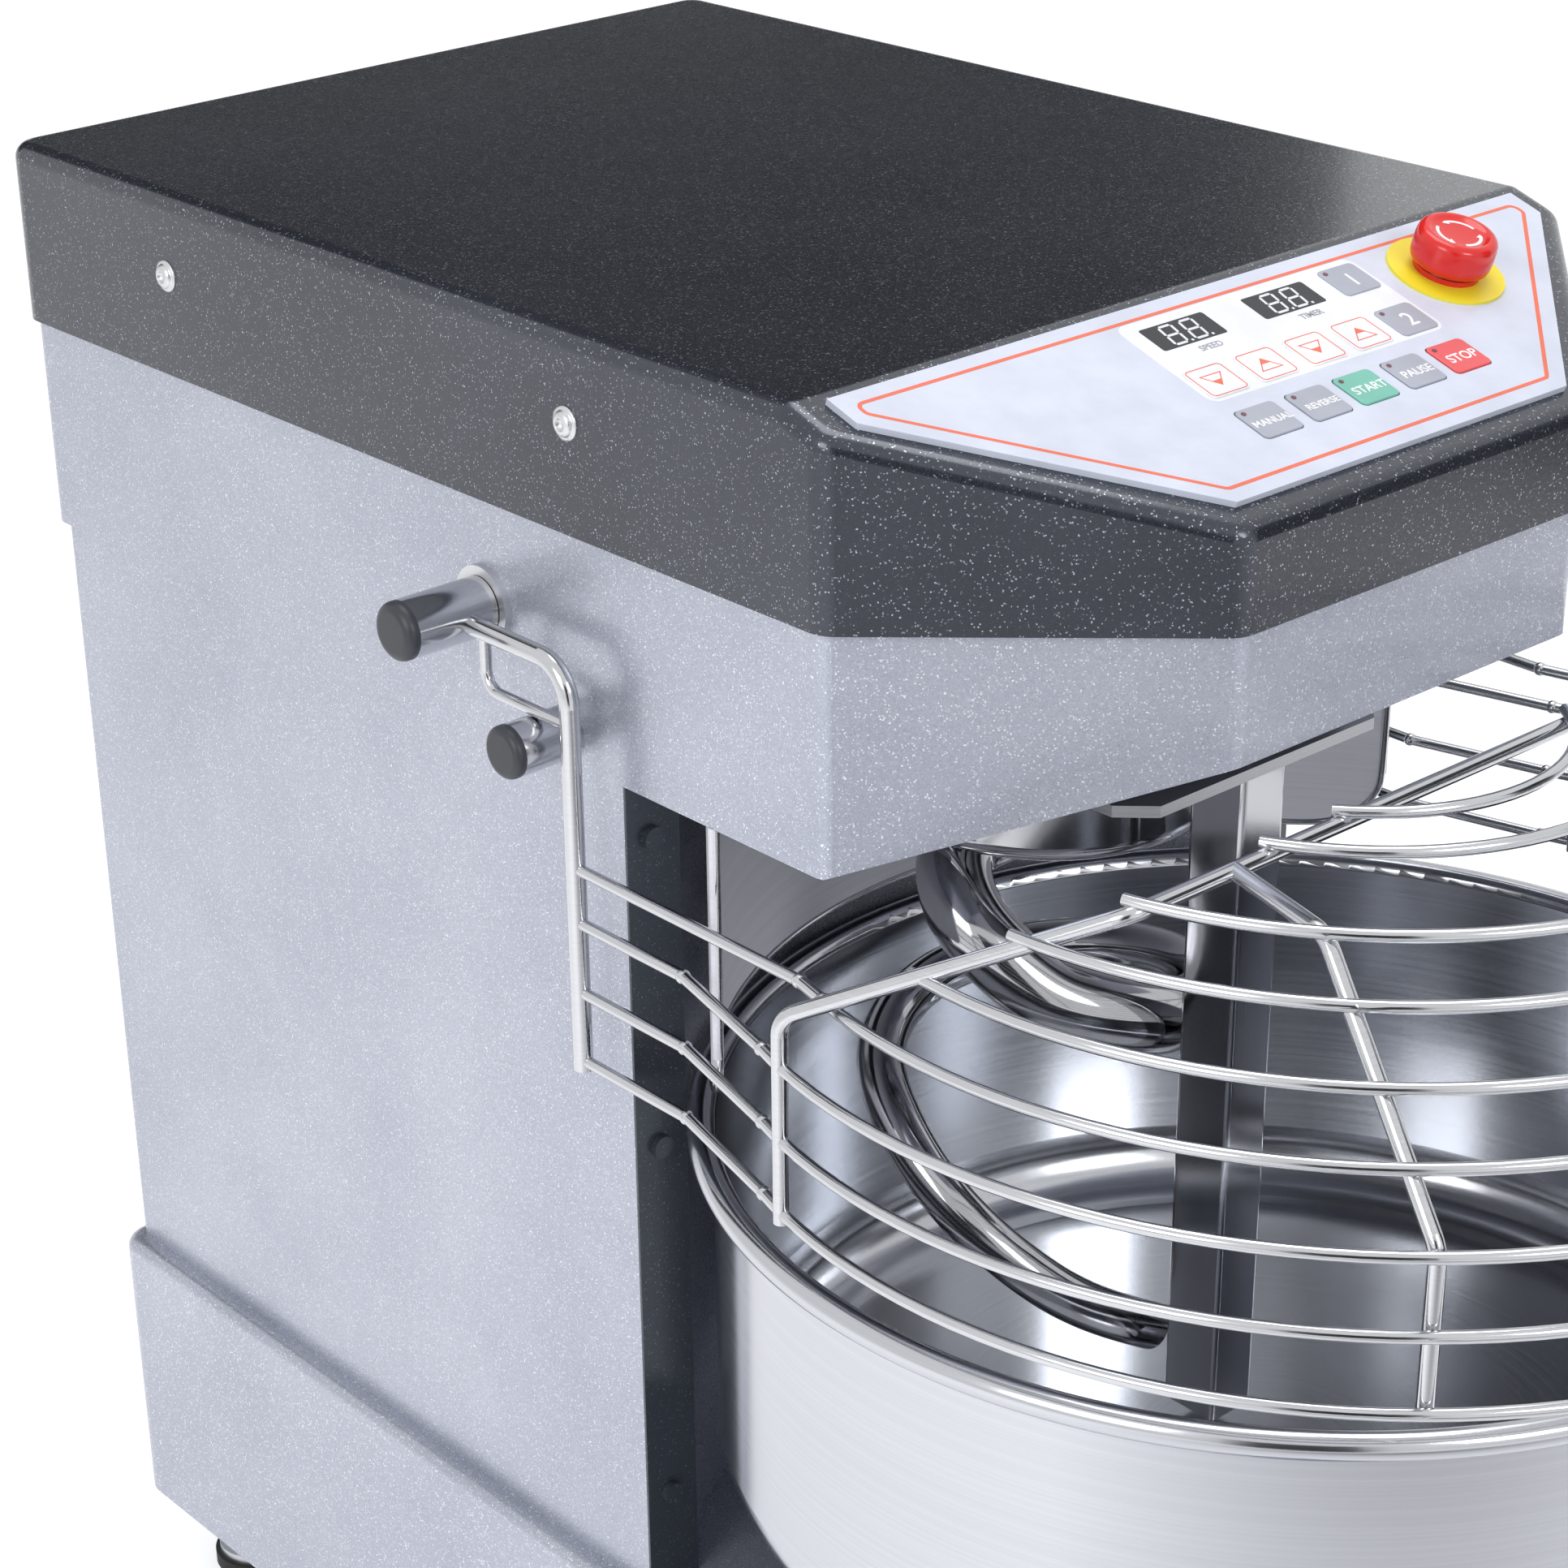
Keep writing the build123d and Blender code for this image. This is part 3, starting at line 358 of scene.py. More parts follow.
cover_paint = flake_paint(
    "cover_paint", shade=(0.034, 0.040, 0.054), light=(0.048, 0.055, 0.072), flake=(0.50, 0.54, 0.62),
    flake_share=0.05, roughness=0.26, metallic=0.6, coat=0.5,
)
body_paint = flake_paint(
    "body_paint", shade=(0.41, 0.435, 0.52), light=(0.48, 0.505, 0.59), flake=(0.97, 0.98, 1.0),
    flake_share=0.08, roughness=0.33, metallic=0.55, coat=0.3,
)
strip_paint = flake_paint(
    "strip_paint", shade=(0.050, 0.060, 0.075), light=(0.066, 0.078, 0.095), flake=(0.20, 0.22, 0.26),
    flake_share=0.04, roughness=0.38, metallic=0.5, coat=0.3,
)
print("paints made")

# %% [markdown]
# Stainless steel: a metal whose roughness and bump run along its brushing. On the bowl the lines
# follow the spinning lathe, so the pattern reads the distance from the bowl's axis and the height,
# and turns into rings on the floor and level lines on the wall. The bar and the hook are
# polished, with only faint marks left. The splash shield is satin, and scatters most of its light.
# Its nearly white colour, far paler than bare steel, is partly painted: a painted reflection of the
# bright room and painted light that lifts the sheet out of the head's shadow.

# %% Steels
def steel(name, colour, roughness, vary, vector_maker, bump_height, scale=1.0, metallic=1.0):
    """Metal with a directional pattern in its colour, roughness and bump."""
    material, tree, shader = principled(name)
    where = vector_maker(tree)
    lines = noise(tree, where, scale, detail=5.0, roughness=0.65)
    dark = tuple(0.88 * channel for channel in colour)
    tree.links.new(ramp(tree, lines, [(0.25, dark), (0.75, colour)]), shader.inputs["Base Color"])
    shader.inputs["Metallic"].default_value = metallic
    tree.links.new(spread(tree, lines, roughness - vary, roughness + vary), shader.inputs["Roughness"])
    bump(tree, shader, lines, 0.3, bump_height)
    return material


def along(scale):
    """Coordinates stretched along an axis, for straight brushing."""
    return lambda tree: object_coordinates(tree, scale=scale)


def lathe_rings(tree):
    """Coordinates of distance from the bowl's axis and height, stretched into turned lines."""
    where = object_coordinates(tree, location=(-bowl_axis.x, -bowl_axis.y, 0))
    split = tree.nodes.new("ShaderNodeSeparateXYZ")
    tree.links.new(where, split.inputs["Vector"])
    flat = tree.nodes.new("ShaderNodeCombineXYZ")
    tree.links.new(split.outputs["X"], flat.inputs["X"])
    tree.links.new(split.outputs["Y"], flat.inputs["Y"])
    reach = tree.nodes.new("ShaderNodeVectorMath")
    reach.operation = "LENGTH"
    tree.links.new(flat.outputs["Vector"], reach.inputs[0])
    rings = tree.nodes.new("ShaderNodeCombineXYZ")
    tree.links.new(reach.outputs["Value"], rings.inputs["X"])
    tree.links.new(split.outputs["Z"], rings.inputs["Z"])
    return rings.outputs["Vector"]


faint = 0.02 * MM
light_brushing = 0.03 * MM
turned_lines = 0.04 * MM
cast_skin = 0.1 * MM
bowl_steel = steel("bowl_steel", (0.56, 0.575, 0.61), 0.17, 0.06, lathe_rings, turned_lines, scale=420.0)
wire_steel = steel("wire_steel", (0.60, 0.61, 0.635), 0.15, 0.05, along((40, 40, 900)), light_brushing)
plate_steel = steel("plate_steel", (0.40, 0.41, 0.43), 0.28, 0.06, along((4, 4, 700)), light_brushing)
# the shield's nearly white, barely metallic colour is partly painted reflection of the bright room and
# painted light against the head's shadow
shield_steel_painted_sheen = steel(
    "shield_steel_painted_sheen", (0.86, 0.87, 0.95), 0.46, 0.05, along((4, 4, 500)), faint, metallic=0.1
)
polished_steel = steel(
    "polished_steel", (0.47, 0.475, 0.50), 0.10, 0.04, along((60, 60, 8)), light_brushing
)
zinc = steel("zinc", (0.66, 0.67, 0.69), 0.32, 0.08, along((90, 90, 90)), light_brushing)
cast_metal = steel("cast_metal", (0.14, 0.14, 0.15), 0.55, 0.10, along((300, 300, 300)), cast_skin)
motor_metal = steel("motor_metal", (0.55, 0.56, 0.58), 0.40, 0.10, along((250, 250, 250)), cast_skin)
print("steels made")

# %% [markdown]
# Plastics and rubber: moulded surfaces have a fine spark-eroded texture, so each has a small noise
# in its bump and a little difference in roughness and shade.

# %% Plastics
def moulded(name, colour, roughness, texture=900.0, depth=0.00005):
    """Moulded plastic or rubber with a fine texture."""
    material, tree, shader = principled(name)
    where = object_coordinates(tree)
    grain = noise(tree, where, texture, detail=3.0)
    cloud = noise(tree, where, 35.0)
    dark = tuple(0.9 * channel for channel in colour)
    tree.links.new(ramp(tree, cloud, [(0.35, dark), (0.65, colour)]), shader.inputs["Base Color"])
    tree.links.new(spread(tree, grain, roughness - 0.06, roughness + 0.06), shader.inputs["Roughness"])
    bump(tree, shader, grain, 0.3, depth)
    return material


black_plastic = moulded("black_plastic", (0.035, 0.04, 0.05), 0.42)
rubber = moulded("rubber", (0.02, 0.02, 0.021), 0.7)
panel_film = moulded("panel_film", (0.66, 0.70, 0.83), 0.30)
pale_film = moulded("pale_film", (0.86, 0.88, 0.94), 0.34)
key_grey = moulded("key_grey", (0.40, 0.42, 0.50), 0.36)
key_white = moulded("key_white", (0.86, 0.87, 0.92), 0.36)
key_green = moulded("key_green", (0.18, 0.52, 0.42), 0.36)
key_red = moulded("key_red", (0.80, 0.10, 0.11), 0.36)
outline_red = moulded("outline_red", (0.85, 0.16, 0.08), 0.4)
legend_white = moulded("legend_white", (0.90, 0.91, 0.93), 0.4)
legend_grey = moulded("legend_grey", (0.33, 0.34, 0.38), 0.4)
display_black = moulded("display_black", (0.012, 0.013, 0.018), 0.12)
digit_white = moulded("digit_white", (0.80, 0.83, 0.88), 0.3)
stop_red = moulded("stop_red", (0.72, 0.02, 0.018), 0.18)
stop_yellow = moulded("stop_yellow", (0.93, 0.78, 0.03), 0.4)
led_dark = moulded("led_dark", (0.16, 0.05, 0.06), 0.3)
print("plastics made")

# %% [markdown]
# Every part of the frame takes its finish from its job: sheet metal is painted, what touches the
# dough is bare steel, what turns inside is cast or turned metal.

# %% Finishes on the frame's parts
finishes = {
    cover_paint: ["head_cover"],
    body_paint: ["base_chassis", "column_shell", "head_shell", "rear_panel", "bowl_pedestal"],
    strip_paint: ["column_front_strips"],
    bowl_steel: ["bowl"],
    wire_steel: ["guard_cage", "guard_hub_tubes", "stop_hubs"],
    plate_steel: ["head_underplate", "bar_flange"],
    shield_steel_painted_sheen: ["splash_shield"],
    polished_steel: ["breaker_bar", "spiral_hook", "hook_collar"],
    zinc: [
        "levelling_feet", "bowl_bearings", "bowl_shaft", "rear_panel_screws", "cover_screws",
        "bar_bolts", "hook_shaft", "hook_bearings", "motor_bracket", "pivot_pins", "e_stop_body",
    ],
    cast_metal: [
        "bowl_bearing_housing", "bowl_pulley", "bowl_motor_pulley", "hook_bearing_housing",
        "hook_pulley", "spiral_motor_pulley",
    ],
    motor_metal: ["bowl_motor", "spiral_motor"],
    rubber: ["foot_pads", "bowl_belt", "spiral_belt"],
    black_plastic: ["cable_gland", "guard_hub_caps", "stop_caps", "electrical_box"],
    panel_film: ["control_panel"],
    display_black: ["display_windows"],
    key_grey: ["speed_one_key", "speed_two_key", "manual_key", "reverse_key", "pause_key"],
    key_white: [
        "first_timer_down_key", "first_timer_up_key", "second_timer_down_key", "second_timer_up_key",
    ],
    key_green: ["start_key"],
    key_red: ["stop_key"],
    stop_yellow: ["e_stop_disc"],
    stop_red: ["e_stop_head"],
}
for material, nodes in finishes.items():
    for node in nodes:
        for slot in bpy.data.objects[node].material_slots:
            slot.material = material
print("finished", sum(len(nodes) for nodes in finishes.values()), "parts")

# %% [markdown]
# The spiral hook is one forged rod. In the frame it is a chain of short bends, enough for its
# weight and its clearance; here it becomes a smooth curve through the same places. The curve's
# points carry a radius, so the rod can be thick where it leaves the collar and thin at the tip.

# %% Spiral hook
hook_axis = box_centre("hook_collar")
collar_foot = box_corners("hook_collar")[0].z
rod_radius = 13 * MM
spiral_radius = 86 * MM
# angle round the axis in degrees, and height in metres
spiral_stations = [
    (180, 0.636), (225, 0.578), (270, 0.552), (360, 0.531), (450, 0.511), (518, 0.486), (564, 0.434),
    (597, 0.396), (630, 0.367),
]


def spiral_height(angle):
    """Height of the spiral at an angle, straight between its stations."""
    for (a0, z0), (a1, z1) in zip(spiral_stations, spiral_stations[1:]):
        if angle <= a1:
            return z0 + (z1 - z0) * (angle - a0) / (a1 - a0)
    return spiral_stations[-1][1]


def mesh_of(holder):
    """The mesh that a curve or a text makes; its object is removed."""
    bpy.context.view_layer.update()
    evaluated = holder.evaluated_get(bpy.context.evaluated_depsgraph_get())
    mesh = bpy.data.meshes.new_from_object(evaluated)
    bpy.data.objects.remove(holder)
    return mesh


def curve_piece(name, points, radii, depth):
    """A smooth round rod through points, as a mesh; radii scale its thickness."""
    data = bpy.data.curves.new(name, "CURVE")
    data.dimensions = "3D"
    data.bevel_depth = depth
    data.bevel_resolution = 8
    data.resolution_u = 10
    data.use_fill_caps = True
    spline = data.splines.new("NURBS")
    spline.points.add(len(points) - 1)
    for point, place, radius in zip(spline.points, points, radii):
        point.co = (*place, 1)
        point.radius = radius
    spline.order_u = 4
    spline.use_endpoint_u = True
    holder = bpy.data.objects.new(name + "_curve", data)
    scene.collection.objects.link(holder)
    mesh = mesh_of(holder)
    mesh.name = name
    mesh.shade_smooth()
    piece = bpy.data.objects.new(name, mesh)
    scene.collection.objects.link(piece)
    return piece


# the root leaves the collar's foot and swings out to the spiral
root_places = [(10, 0, 4), (6, 2, -6), (-30, 6, -10), (-66, 6, -11)]
hook_points = [(x * MM, hook_axis.y + y * MM, collar_foot + z * MM) for x, y, z in root_places]
hook_radii = [1.7, 1.65, 1.55, 1.5]
root_thickness = 1.5
thinning = 0.12
thick_steps = 6
first_angle, last_angle = spiral_stations[0][0], spiral_stations[-1][0]
spiral_steps = 30
for step in range(1, spiral_steps + 1):
    angle = first_angle + (last_angle - first_angle) * step / spiral_steps
    place = radians(angle)
    hook_points.append((
        hook_axis.x + spiral_radius * cos(place),
        hook_axis.y + spiral_radius * sin(place),
        spiral_height(angle),
    ))
    thickness = root_thickness - thinning * (step - thick_steps)
    hook_radii.append(min(root_thickness, max(1.0, thickness)))
spiral = curve_piece("spiral_rod", hook_points, hook_radii, rod_radius)
spiral.data.materials.append(polished_steel)
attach(spiral, "hook_body")
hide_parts("spiral_hook")
print("spiral", len(spiral.data.polygons), "faces")

# %% [markdown]
# The splash shield is a curved sheet behind the hook. Its lower edge and its two upright edges are
# rolled into a thin hem, which catches the light as a bright line: one curve follows the whole edge.

# %% Shield hem
shield_low, shield_high = box_corners("splash_shield")
half_sheet = 0.75 * MM
shield_radius = shield_high.y - bowl_axis.y - half_sheet
shield_half = shield_high.x - 2.9 * MM
shield_round = 34 * MM
corner_steps = 6
hem_radius = 2.0 * MM
end_turn = asin(shield_half / shield_radius)
hem_low = shield_low.z + 0.5 * MM
round_turn = shield_round * 1.25 / shield_radius


def hem_place(turn, height):
    """A point of the shield's sheet at a turn from straight behind the hook."""
    return bowl_axis.x + shield_radius * sin(turn), bowl_axis.y + shield_radius * cos(turn), height


def hem_side(side):
    """The hem's points down one upright edge and round its lower corner."""
    heights = (shield_high.z - 1 * MM, shield_high.z - 50 * MM, hem_low + shield_round)
    points = [hem_place(side * end_turn, height) for height in heights]
    for step in range(1, corner_steps + 1):
        bend = pi / 2 * step / corner_steps
        turn = end_turn - round_turn * (1 - cos(bend))
        points.append(hem_place(side * turn, hem_low + shield_round * (1 - sin(bend))))
    return points


hem_steps = 24
inner_turn = end_turn - round_turn
low_turns = [-inner_turn + 2 * inner_turn * k / hem_steps for k in range(1, hem_steps)]
hem_points = hem_side(-1) + [hem_place(turn, hem_low) for turn in low_turns] + hem_side(1)[::-1]
hem = curve_piece("shield_hem", hem_points, [1.0] * len(hem_points), hem_radius)
hem.data.materials.append(wire_steel)
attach(hem, "machine_body")
print("shield hem", len(hem.data.polygons), "faces")

# %% [markdown]
# The panel's film lies on a slope. A small frame of its own makes it easy to work on: u runs to
# the right, v up the slope and w out of the film. Two keys in one column give the slope.

# %% The panel's own frame
panel_up = (box_centre("speed_one_key") - box_centre("stop_key")).normalized()
panel_right = Vector((1, 0, 0))
panel_out = panel_right.cross(panel_up)
panel_origin = box_centre("display_windows")
film_top = 1.5 * MM
key_top = 2.3 * MM
panel_turn = Matrix((panel_right, panel_up, panel_out)).transposed().to_4x4()
panel_matrix = Matrix.Translation(panel_origin) @ panel_turn


def on_panel(node):
    """Where a key or display lies in the panel's frame: (u, v)."""
    offset = box_centre(node) - panel_origin
    return offset.dot(panel_right), offset.dot(panel_up)


def rectangle(left, low, right, high):
    """Corners of a rectangle of the panel, counter-clockwise."""
    return [(left, low), (right, low), (right, high), (left, high)]


def finish_piece(name, shape, material, body, matrix=panel_matrix, smooth=False):
    """Turn a bmesh into a placed, painted piece that rides on a body."""
    bmesh.ops.recalc_face_normals(shape, faces=shape.faces)
    bmesh.ops.transform(shape, matrix=matrix, verts=shape.verts)
    mesh = bpy.data.meshes.new(name)
    shape.to_mesh(mesh)
    shape.free()
    if smooth:
        mesh.shade_smooth()
    mesh.materials.append(material)
    piece = bpy.data.objects.new(name, mesh)
    scene.collection.objects.link(piece)
    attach(piece, body)
    return piece


def corner_frames(outline):
    """Each corner of a counter-clockwise outline with its two edges' inward normals."""
    for before, at, after in zip(outline[-1:] + outline[:-1], outline, outline[1:] + outline[:1]):
        first = (Vector(at) - Vector(before)).normalized()
        second = (Vector(after) - Vector(at)).normalized()
        yield Vector(at), Vector((-first.y, first.x)), Vector((-second.y, second.x))


def inset_outline(outline, distance):
    """A convex outline moved inwards by a distance."""
    return [at + distance * (n1 + n2) / (1 + n1.dot(n2)) for at, n1, n2 in corner_frames(outline)]


def rounded_outline(outline, radius, steps=5):
    """A convex outline with its corners turned into arcs."""
    points = []
    for at, n1, n2 in corner_frames(outline):
        centre = at + radius * (n1 + n2) / (1 + n1.dot(n2))
        points += [centre + radius * (-n1).lerp(-n2, k / steps).normalized() for k in range(steps + 1)]
    return points


def thicken(shape, faces, thickness):
    """Raise faces off the panel into a plate."""
    raised = bmesh.ops.extrude_face_region(shape, geom=faces)
    top = [item for item in raised["geom"] if isinstance(item, bmesh.types.BMVert)]
    bmesh.ops.translate(shape, verts=top, vec=(0, 0, thickness))


def flat_shape(shape, outline, w, thickness=0.12 * MM, corner=0.0, line=0.0):
    """Add a thin flat plate to a bmesh, or only its border line."""
    inner = inset_outline(outline, line) if line else None
    if corner:
        outline = rounded_outline(outline, corner)
        inner = rounded_outline(inner, corner - line) if line else None
    outer_verts = [shape.verts.new((u, v, w)) for u, v in outline]
    if line:
        inner_verts = [shape.verts.new((u, v, w)) for u, v in inner]
        next_outer = outer_verts[1:] + outer_verts[:1]
        next_inner = inner_verts[1:] + inner_verts[:1]
        ring = zip(outer_verts, next_outer, next_inner, inner_verts)
        faces = [shape.faces.new(corners) for corners in ring]
    else:
        faces = [shape.faces.new(outer_verts)]
    thicken(shape, faces, thickness)


print("panel slope", round(-panel_out.y / panel_out.z, 3))

# %% [markdown]
# The film is printed: an orange-red line runs round it. The line is a thin raised border between
# two outlines, both moved inwards from the film's own edge.

# %% Printed border of the panel
border_inset = 8 * MM
border_line = 2 * MM
film_half, film_foot = 230 * MM, 112 * MM
film_head, film_shoulder, film_low = 25.7 * MM, 5.7 * MM, -110.3 * MM
film_edge = [
    (-film_half, film_head), (-film_half, film_shoulder), (-film_foot, film_low),
    (film_foot, film_low), (film_half, film_shoulder), (film_half, film_head),
]
border = bmesh.new()
flat_shape(
    border, inset_outline(film_edge, border_inset), film_top, corner=5 * MM, line=border_line
)
finish_piece("panel_border", border, outline_red, "machine_body")

# a paler field under the displays and the upper keys
display_low, display_high = box_corners("display_windows")
display_half = (display_high.x - display_low.x) / 2
field_left = -display_half - 10 * MM
field_right = on_panel("speed_two_key")[0] + 15 * MM
field_low = on_panel("first_timer_up_key")[1] - 13 * MM
field_high = on_panel("speed_one_key")[1] + 15 * MM
field = bmesh.new()
field_edge = rectangle(field_left, field_low, field_right, field_high)
flat_shape(field, field_edge, film_top, thickness=0.03 * MM, corner=6 * MM)
finish_piece("panel_field", field, pale_film, "machine_body")
print("border laid")

# %% [markdown]
# Legends on the keys: numbers, words and arrows. Words are text curves turned into thin meshes,
# which is how a printed legend keeps sharp edges.

# %% Legends
def word(name, text, height, place, w, material, body):
    """A printed word centred on a place of the panel."""
    data = bpy.data.curves.new(name, "FONT")
    data.body = text
    data.size = height
    data.align_x = "CENTER"
    data.align_y = "CENTER"
    data.extrude = 0.06 * MM
    data.offset = 0.12 * MM
    holder = bpy.data.objects.new(name + "_text", data)
    scene.collection.objects.link(holder)
    mesh = mesh_of(holder)
    shape = bmesh.new()
    shape.from_mesh(mesh)
    bpy.data.meshes.remove(mesh)
    bmesh.ops.translate(shape, verts=shape.verts, vec=(place[0], place[1], w + 0.05 * MM))
    finish_piece(name, shape, material, body)


# word and letter height in millimetres
key_words = {
    "speed_one_key": ("1", 14.0), "speed_two_key": ("2", 14.0), "manual_key": ("MANUAL", 6.0),
    "reverse_key": ("REVERSE", 5.6), "start_key": ("START", 7.4), "pause_key": ("PAUSE", 7.2),
    "stop_key": ("STOP", 8.2),
}
lamp_radius = 1.3 * MM
lamp_high = 0.25 * MM
for node, (text, height) in key_words.items():
    u, v = on_panel(node)
    key = node.removesuffix("_key")
    body = key + "_button"
    legend_place = (u + 1 * MM, v - 1.5 * MM)
    word(key + "_legend", text, height * MM, legend_place, key_top, legend_white, body)
    lamp = bmesh.new()
    bmesh.ops.create_circle(lamp, cap_ends=True, radius=lamp_radius, segments=16)
    bmesh.ops.translate(lamp, verts=lamp.verts, vec=(u - 9 * MM, v + 7.5 * MM, key_top))
    thicken(lamp, list(lamp.faces), lamp_high)
    finish_piece(key + "_lamp", lamp, led_dark, body)

arrow_keys = {
    "first_timer_down_key": -1,
    "first_timer_up_key": 1,
    "second_timer_down_key": -1,
    "second_timer_up_key": 1,
}
half_w, half_h = 11.6 * MM, 10.2 * MM
wide, tall = 7.0 * MM, 4.5 * MM
pen = 0.5 * MM
for node, way in arrow_keys.items():
    u, v = on_panel(node)
    key = node.removesuffix("_key")
    print_lines = bmesh.new()
    frame_line = rectangle(u - half_w, v - half_h, u + half_w, v + half_h)
    flat_shape(print_lines, frame_line, key_top, corner=2.5 * MM, line=pen)
    outer = [(u - wide, v - way * tall), (u + wide, v - way * tall), (u, v + way * tall)]
    flat_shape(print_lines, outer[::way], key_top, line=pen)
    small_foot = v + way * tall * 0.05
    small = [(u - wide * 0.45, small_foot), (u + wide * 0.45, small_foot), (u, v + way * tall * 0.86)]
    flat_shape(print_lines, small[::way], key_top)
    finish_piece(key + "_arrow", print_lines, outline_red, key + "_button")

display_u = 34 * MM
for side, text in ((-1, "SPEED"), (1, "TIMER")):
    place = (side * display_u + 4 * MM, -14.5 * MM)
    word(text.lower() + "_word", text, 5.4 * MM, place, film_top, legend_grey, "machine_body")
print("legends printed")

# %% [markdown]
# Each display is a dark glass with two seven-segment digits, each with a point. A segment is a
# thin bar with pointed ends, and a loop sets seven of them round each digit. The digits lean.

# %% Seven-segment digits
digit_high = 14.0 * MM
digit_wide = 8.0 * MM
digit_pitch = 13.5 * MM
digit_lean = 0.12
digit_thick = 0.05 * MM
bar_thick = 1.5 * MM
point_gap = 1.3 * MM
half_point = 0.7 * MM
glass_wide, glass_high = 42.0 * MM, 18.0 * MM
glass_thick = 0.10 * MM
glass_top = film_top + glass_thick


def segment(shape, u, v, length, upright):
    """One bar of a digit, as a flat plate with pointed ends."""
    half = length / 2 - 0.25 * MM
    t = bar_thick / 2
    outline = [(-half, 0), (-half + t, -t), (half - t, -t), (half, 0), (half - t, t), (-half + t, t)]
    if upright:
        outline = [(-b, a) for a, b in outline]
    leaning = [(u + a + digit_lean * (v + b), v + b) for a, b in outline]
    flat_shape(shape, leaning, glass_top, thickness=digit_thick)


for side, name in ((-1, "speed_glass"), (1, "timer_glass")):
    glass = bmesh.new()
    left, right = side * display_u - glass_wide / 2, side * display_u + glass_wide / 2
    pane = rectangle(left, -glass_high / 2, right, glass_high / 2)
    flat_shape(glass, pane, film_top, thickness=glass_thick, corner=1.5 * MM)
    finish_piece(name, glass, display_black, "machine_body")

for side, name in ((-1, "speed_digits"), (1, "timer_digits")):
    digits = bmesh.new()
    for column in (-0.5, 0.5):
        u = side * display_u + column * digit_pitch
        for row in (-1, 0, 1):
            segment(digits, u, row * digit_high / 2, digit_wide, False)
        for across in (-1, 1):
            for row in (-1, 1):
                edge_u = u + across * digit_wide / 2
                segment(digits, edge_u, row * digit_high / 4, digit_high / 2, True)
        point_left, point_v = u + digit_wide / 2 + point_gap, -digit_high / 2
        dot = rectangle(
            point_left, point_v - half_point, point_left + 2 * half_point, point_v + half_point
        )
        flat_shape(digits, dot, glass_top, thickness=digit_thick)
    finish_piece(name, digits, digit_white, "machine_body")
print("digits made")

# %% [markdown]
# A turned part has one profile, spun round its axis. The emergency stop's head is a drum with a
# hollow underside, a rounded shoulder and a shallow dish on top, where white arrows show which
# way it unlocks. The hollow slides over a fixed sleeve when the head is pressed.

# %% Emergency-stop head
def turned(profile, steps):
    """A bmesh turned from a profile of (radius, height) in millimetres."""
    shape = bmesh.new()
    verts = [shape.verts.new((radius * MM, 0, height * MM)) for radius, height in profile]
    edges = [shape.edges.new(pair) for pair in zip(verts, verts[1:])]
    bmesh.ops.spin(
        shape, geom=verts + edges, cent=(0, 0, 0), axis=(0, 0, 1), angle=tau, steps=steps,
        use_merge=True, use_duplicate=False,
    )
    bmesh.ops.remove_doubles(shape, verts=shape.verts, dist=0.01 * MM)
    return shape


stop_turn = Matrix.Translation(box_centre("e_stop_disc")) @ panel_turn
stop_profile = [
    (6.0, 8.3), (15.0, 8.3), (17.2, 8.3), (17.5, 7.0), (17.7, 5.6), (18.7, 5.1), (19.8, 6.2),
    (20.0, 10.6), (20.0, 17.5), (19.2, 20.2), (17.2, 21.8), (15.0, 21.9), (13.5, 21.0), (12.0, 20.2),
    (0.0, 20.0),
]
stop_piece = finish_piece(
    "stop_mushroom", turned(stop_profile, 64), stop_red, "e_stop_button",
    matrix=stop_turn, smooth=True,
)
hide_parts("e_stop_head")
subdivide = stop_piece.modifiers.new("round", "SUBSURF")
subdivide.levels = subdivide.render_levels = 1



def polar(radius, turn):
    """A point at a radius and a turn."""
    return radius * cos(turn), radius * sin(turn)


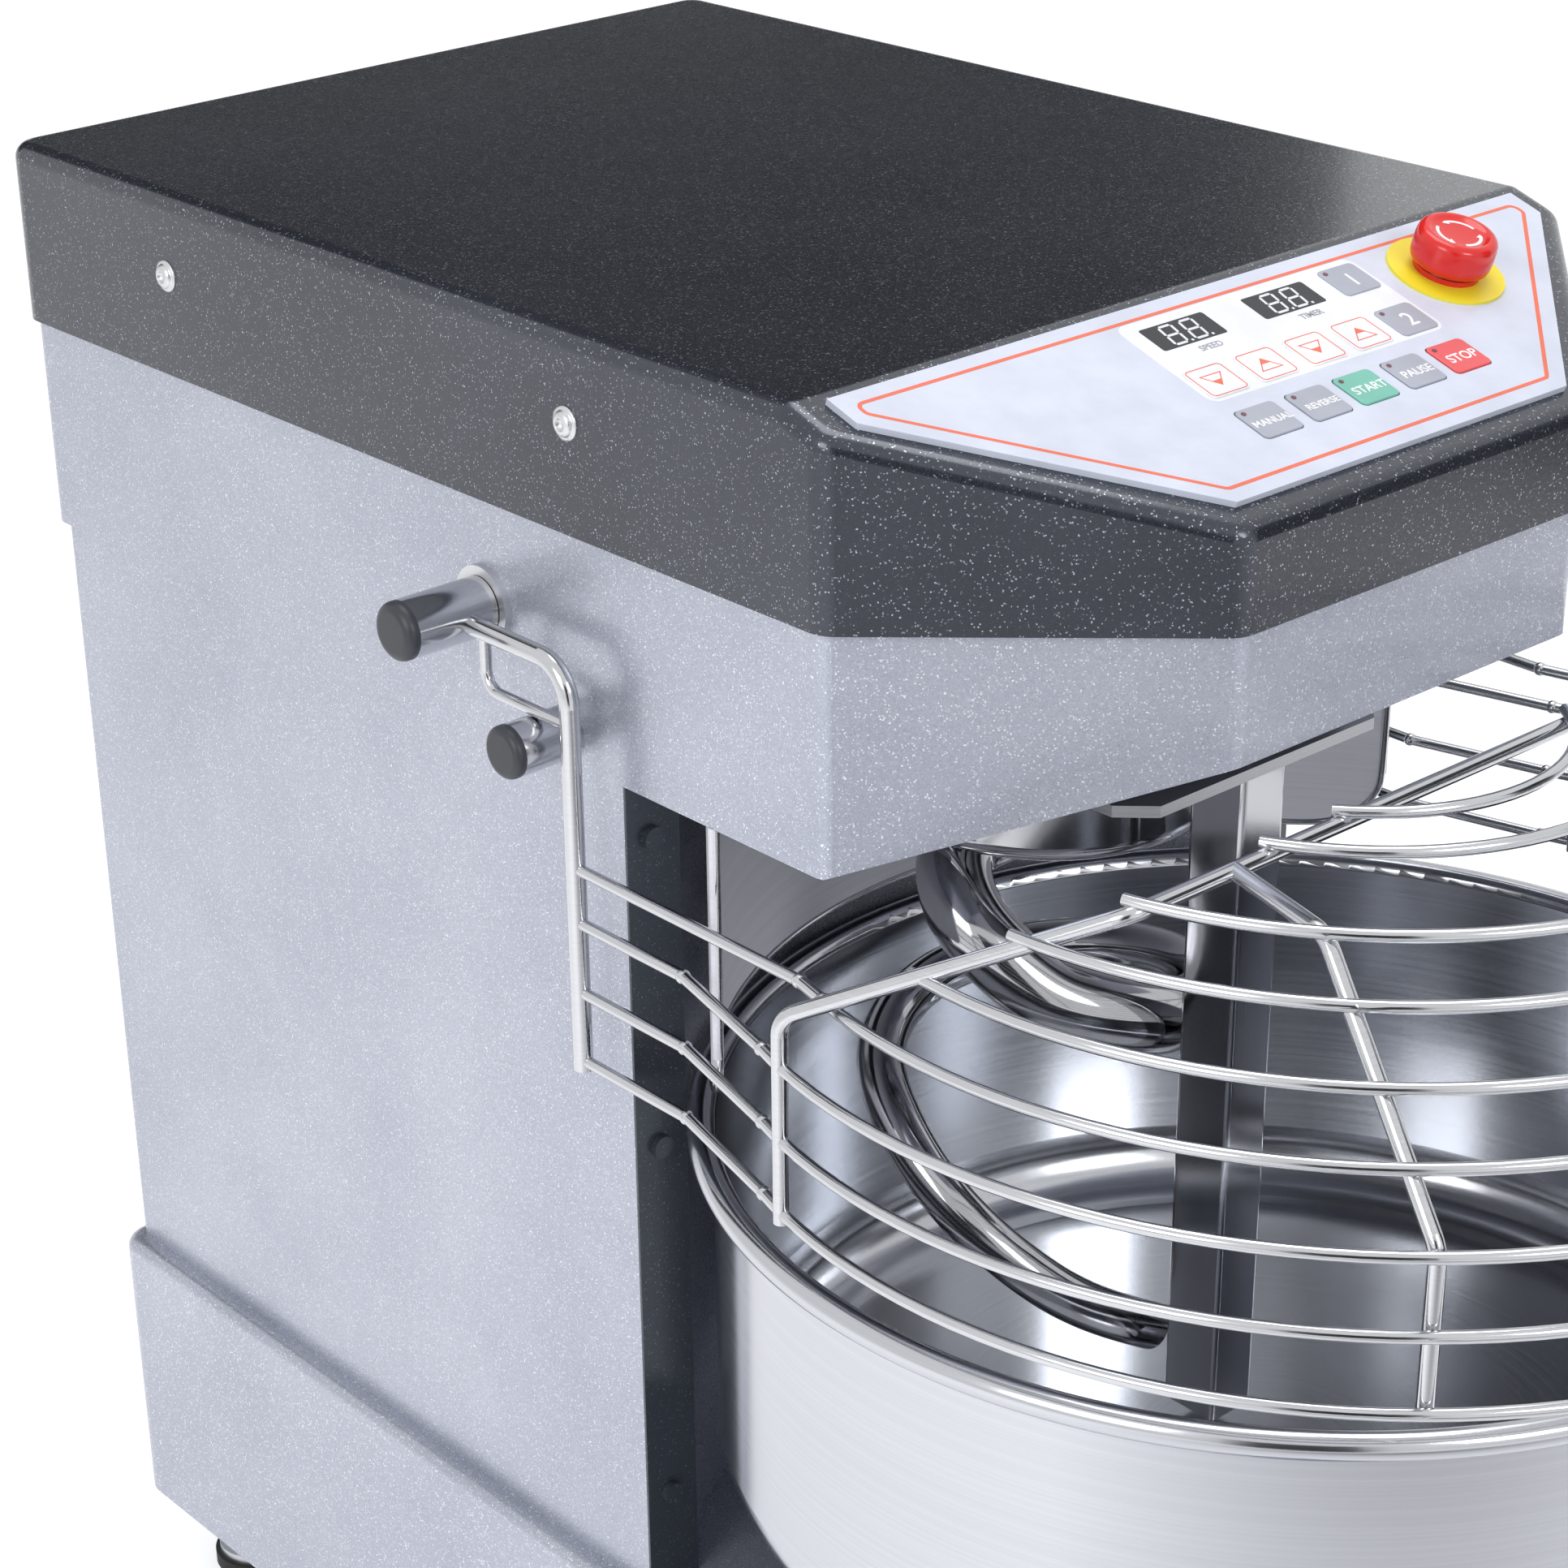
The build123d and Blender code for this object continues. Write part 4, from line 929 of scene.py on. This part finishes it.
sleeve = bmesh.new()
sleeve_sides = 48
sleeve_ring = [polar(16.5 * MM, tau * k / sleeve_sides) for k in range(sleeve_sides)]
flat_shape(sleeve, sleeve_ring, 0.8 * MM, thickness=2.6 * MM)
finish_piece("stop_sleeve", sleeve, stop_red, "machine_body", matrix=stop_turn)

arrows = bmesh.new()
arrow_span = radians(74)
head_span = radians(18)
arc_steps = 12
arc_inner, arc_outer, arrow_lift = 9.8 * MM, 11.4 * MM, 20.3 * MM
head_outer, head_tip, head_inner = 12.8 * MM, 10.6 * MM, 8.4 * MM
for third in range(3):
    start = tau * third / 3
    end = start + arrow_span
    turns = [start + arrow_span * k / arc_steps for k in range(arc_steps + 1)]
    outline = [polar(arc_outer, turn) for turn in turns]
    outline += [polar(head_outer, end), polar(head_tip, end + head_span), polar(head_inner, end)]
    outline += [polar(arc_inner, turn) for turn in reversed(turns)]
    flat_shape(arrows, outline, arrow_lift)
finish_piece("stop_arrows", arrows, legend_white, "e_stop_button", matrix=stop_turn)
print("emergency stop made")

# %% [markdown]
# The cover is held by button-head screws over thin washers. One profile, from the washer's edge
# over the dome and down into the socket, is spun round each screw's axis.

# %% Cover screws
screw_low, screw_high = box_corners("cover_screws")
screw_middle = box_centre("cover_screws")
screw_edge = 8 * MM
head_height = 3.5 * MM
screw_profile = [
    (8.4, 0.0), (8.4, 0.7), (7.2, 0.9), (6.6, 1.0), (6.3, 1.9), (5.6, 2.9), (4.4, 3.5), (3.3, 3.7),
    (3.0, 3.5), (2.9, 1.4), (0.0, 1.3),
]
cover_half = (screw_high.x - screw_low.x) / 2 - head_height
screws = bmesh.new()
for side in (-1, 1):
    turn_out = Matrix.Rotation(side * pi / 2, 4, "Y")
    for y in (screw_low.y + screw_edge, screw_high.y - screw_edge):
        one = turned(screw_profile, 36)
        bmesh.ops.recalc_face_normals(one, faces=one.faces)
        place = Matrix.Translation((side * cover_half, y, screw_middle.z))
        bmesh.ops.transform(one, matrix=place @ turn_out, verts=one.verts)
        part = bpy.data.meshes.new("screw")
        one.to_mesh(part)
        one.free()
        screws.from_mesh(part)
        bpy.data.meshes.remove(part)
screw_piece = finish_piece(
    "button_screws", screws, zinc, "machine_body", matrix=Matrix.Identity(4), smooth=True
)
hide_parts("cover_screws")
print("screws turned")
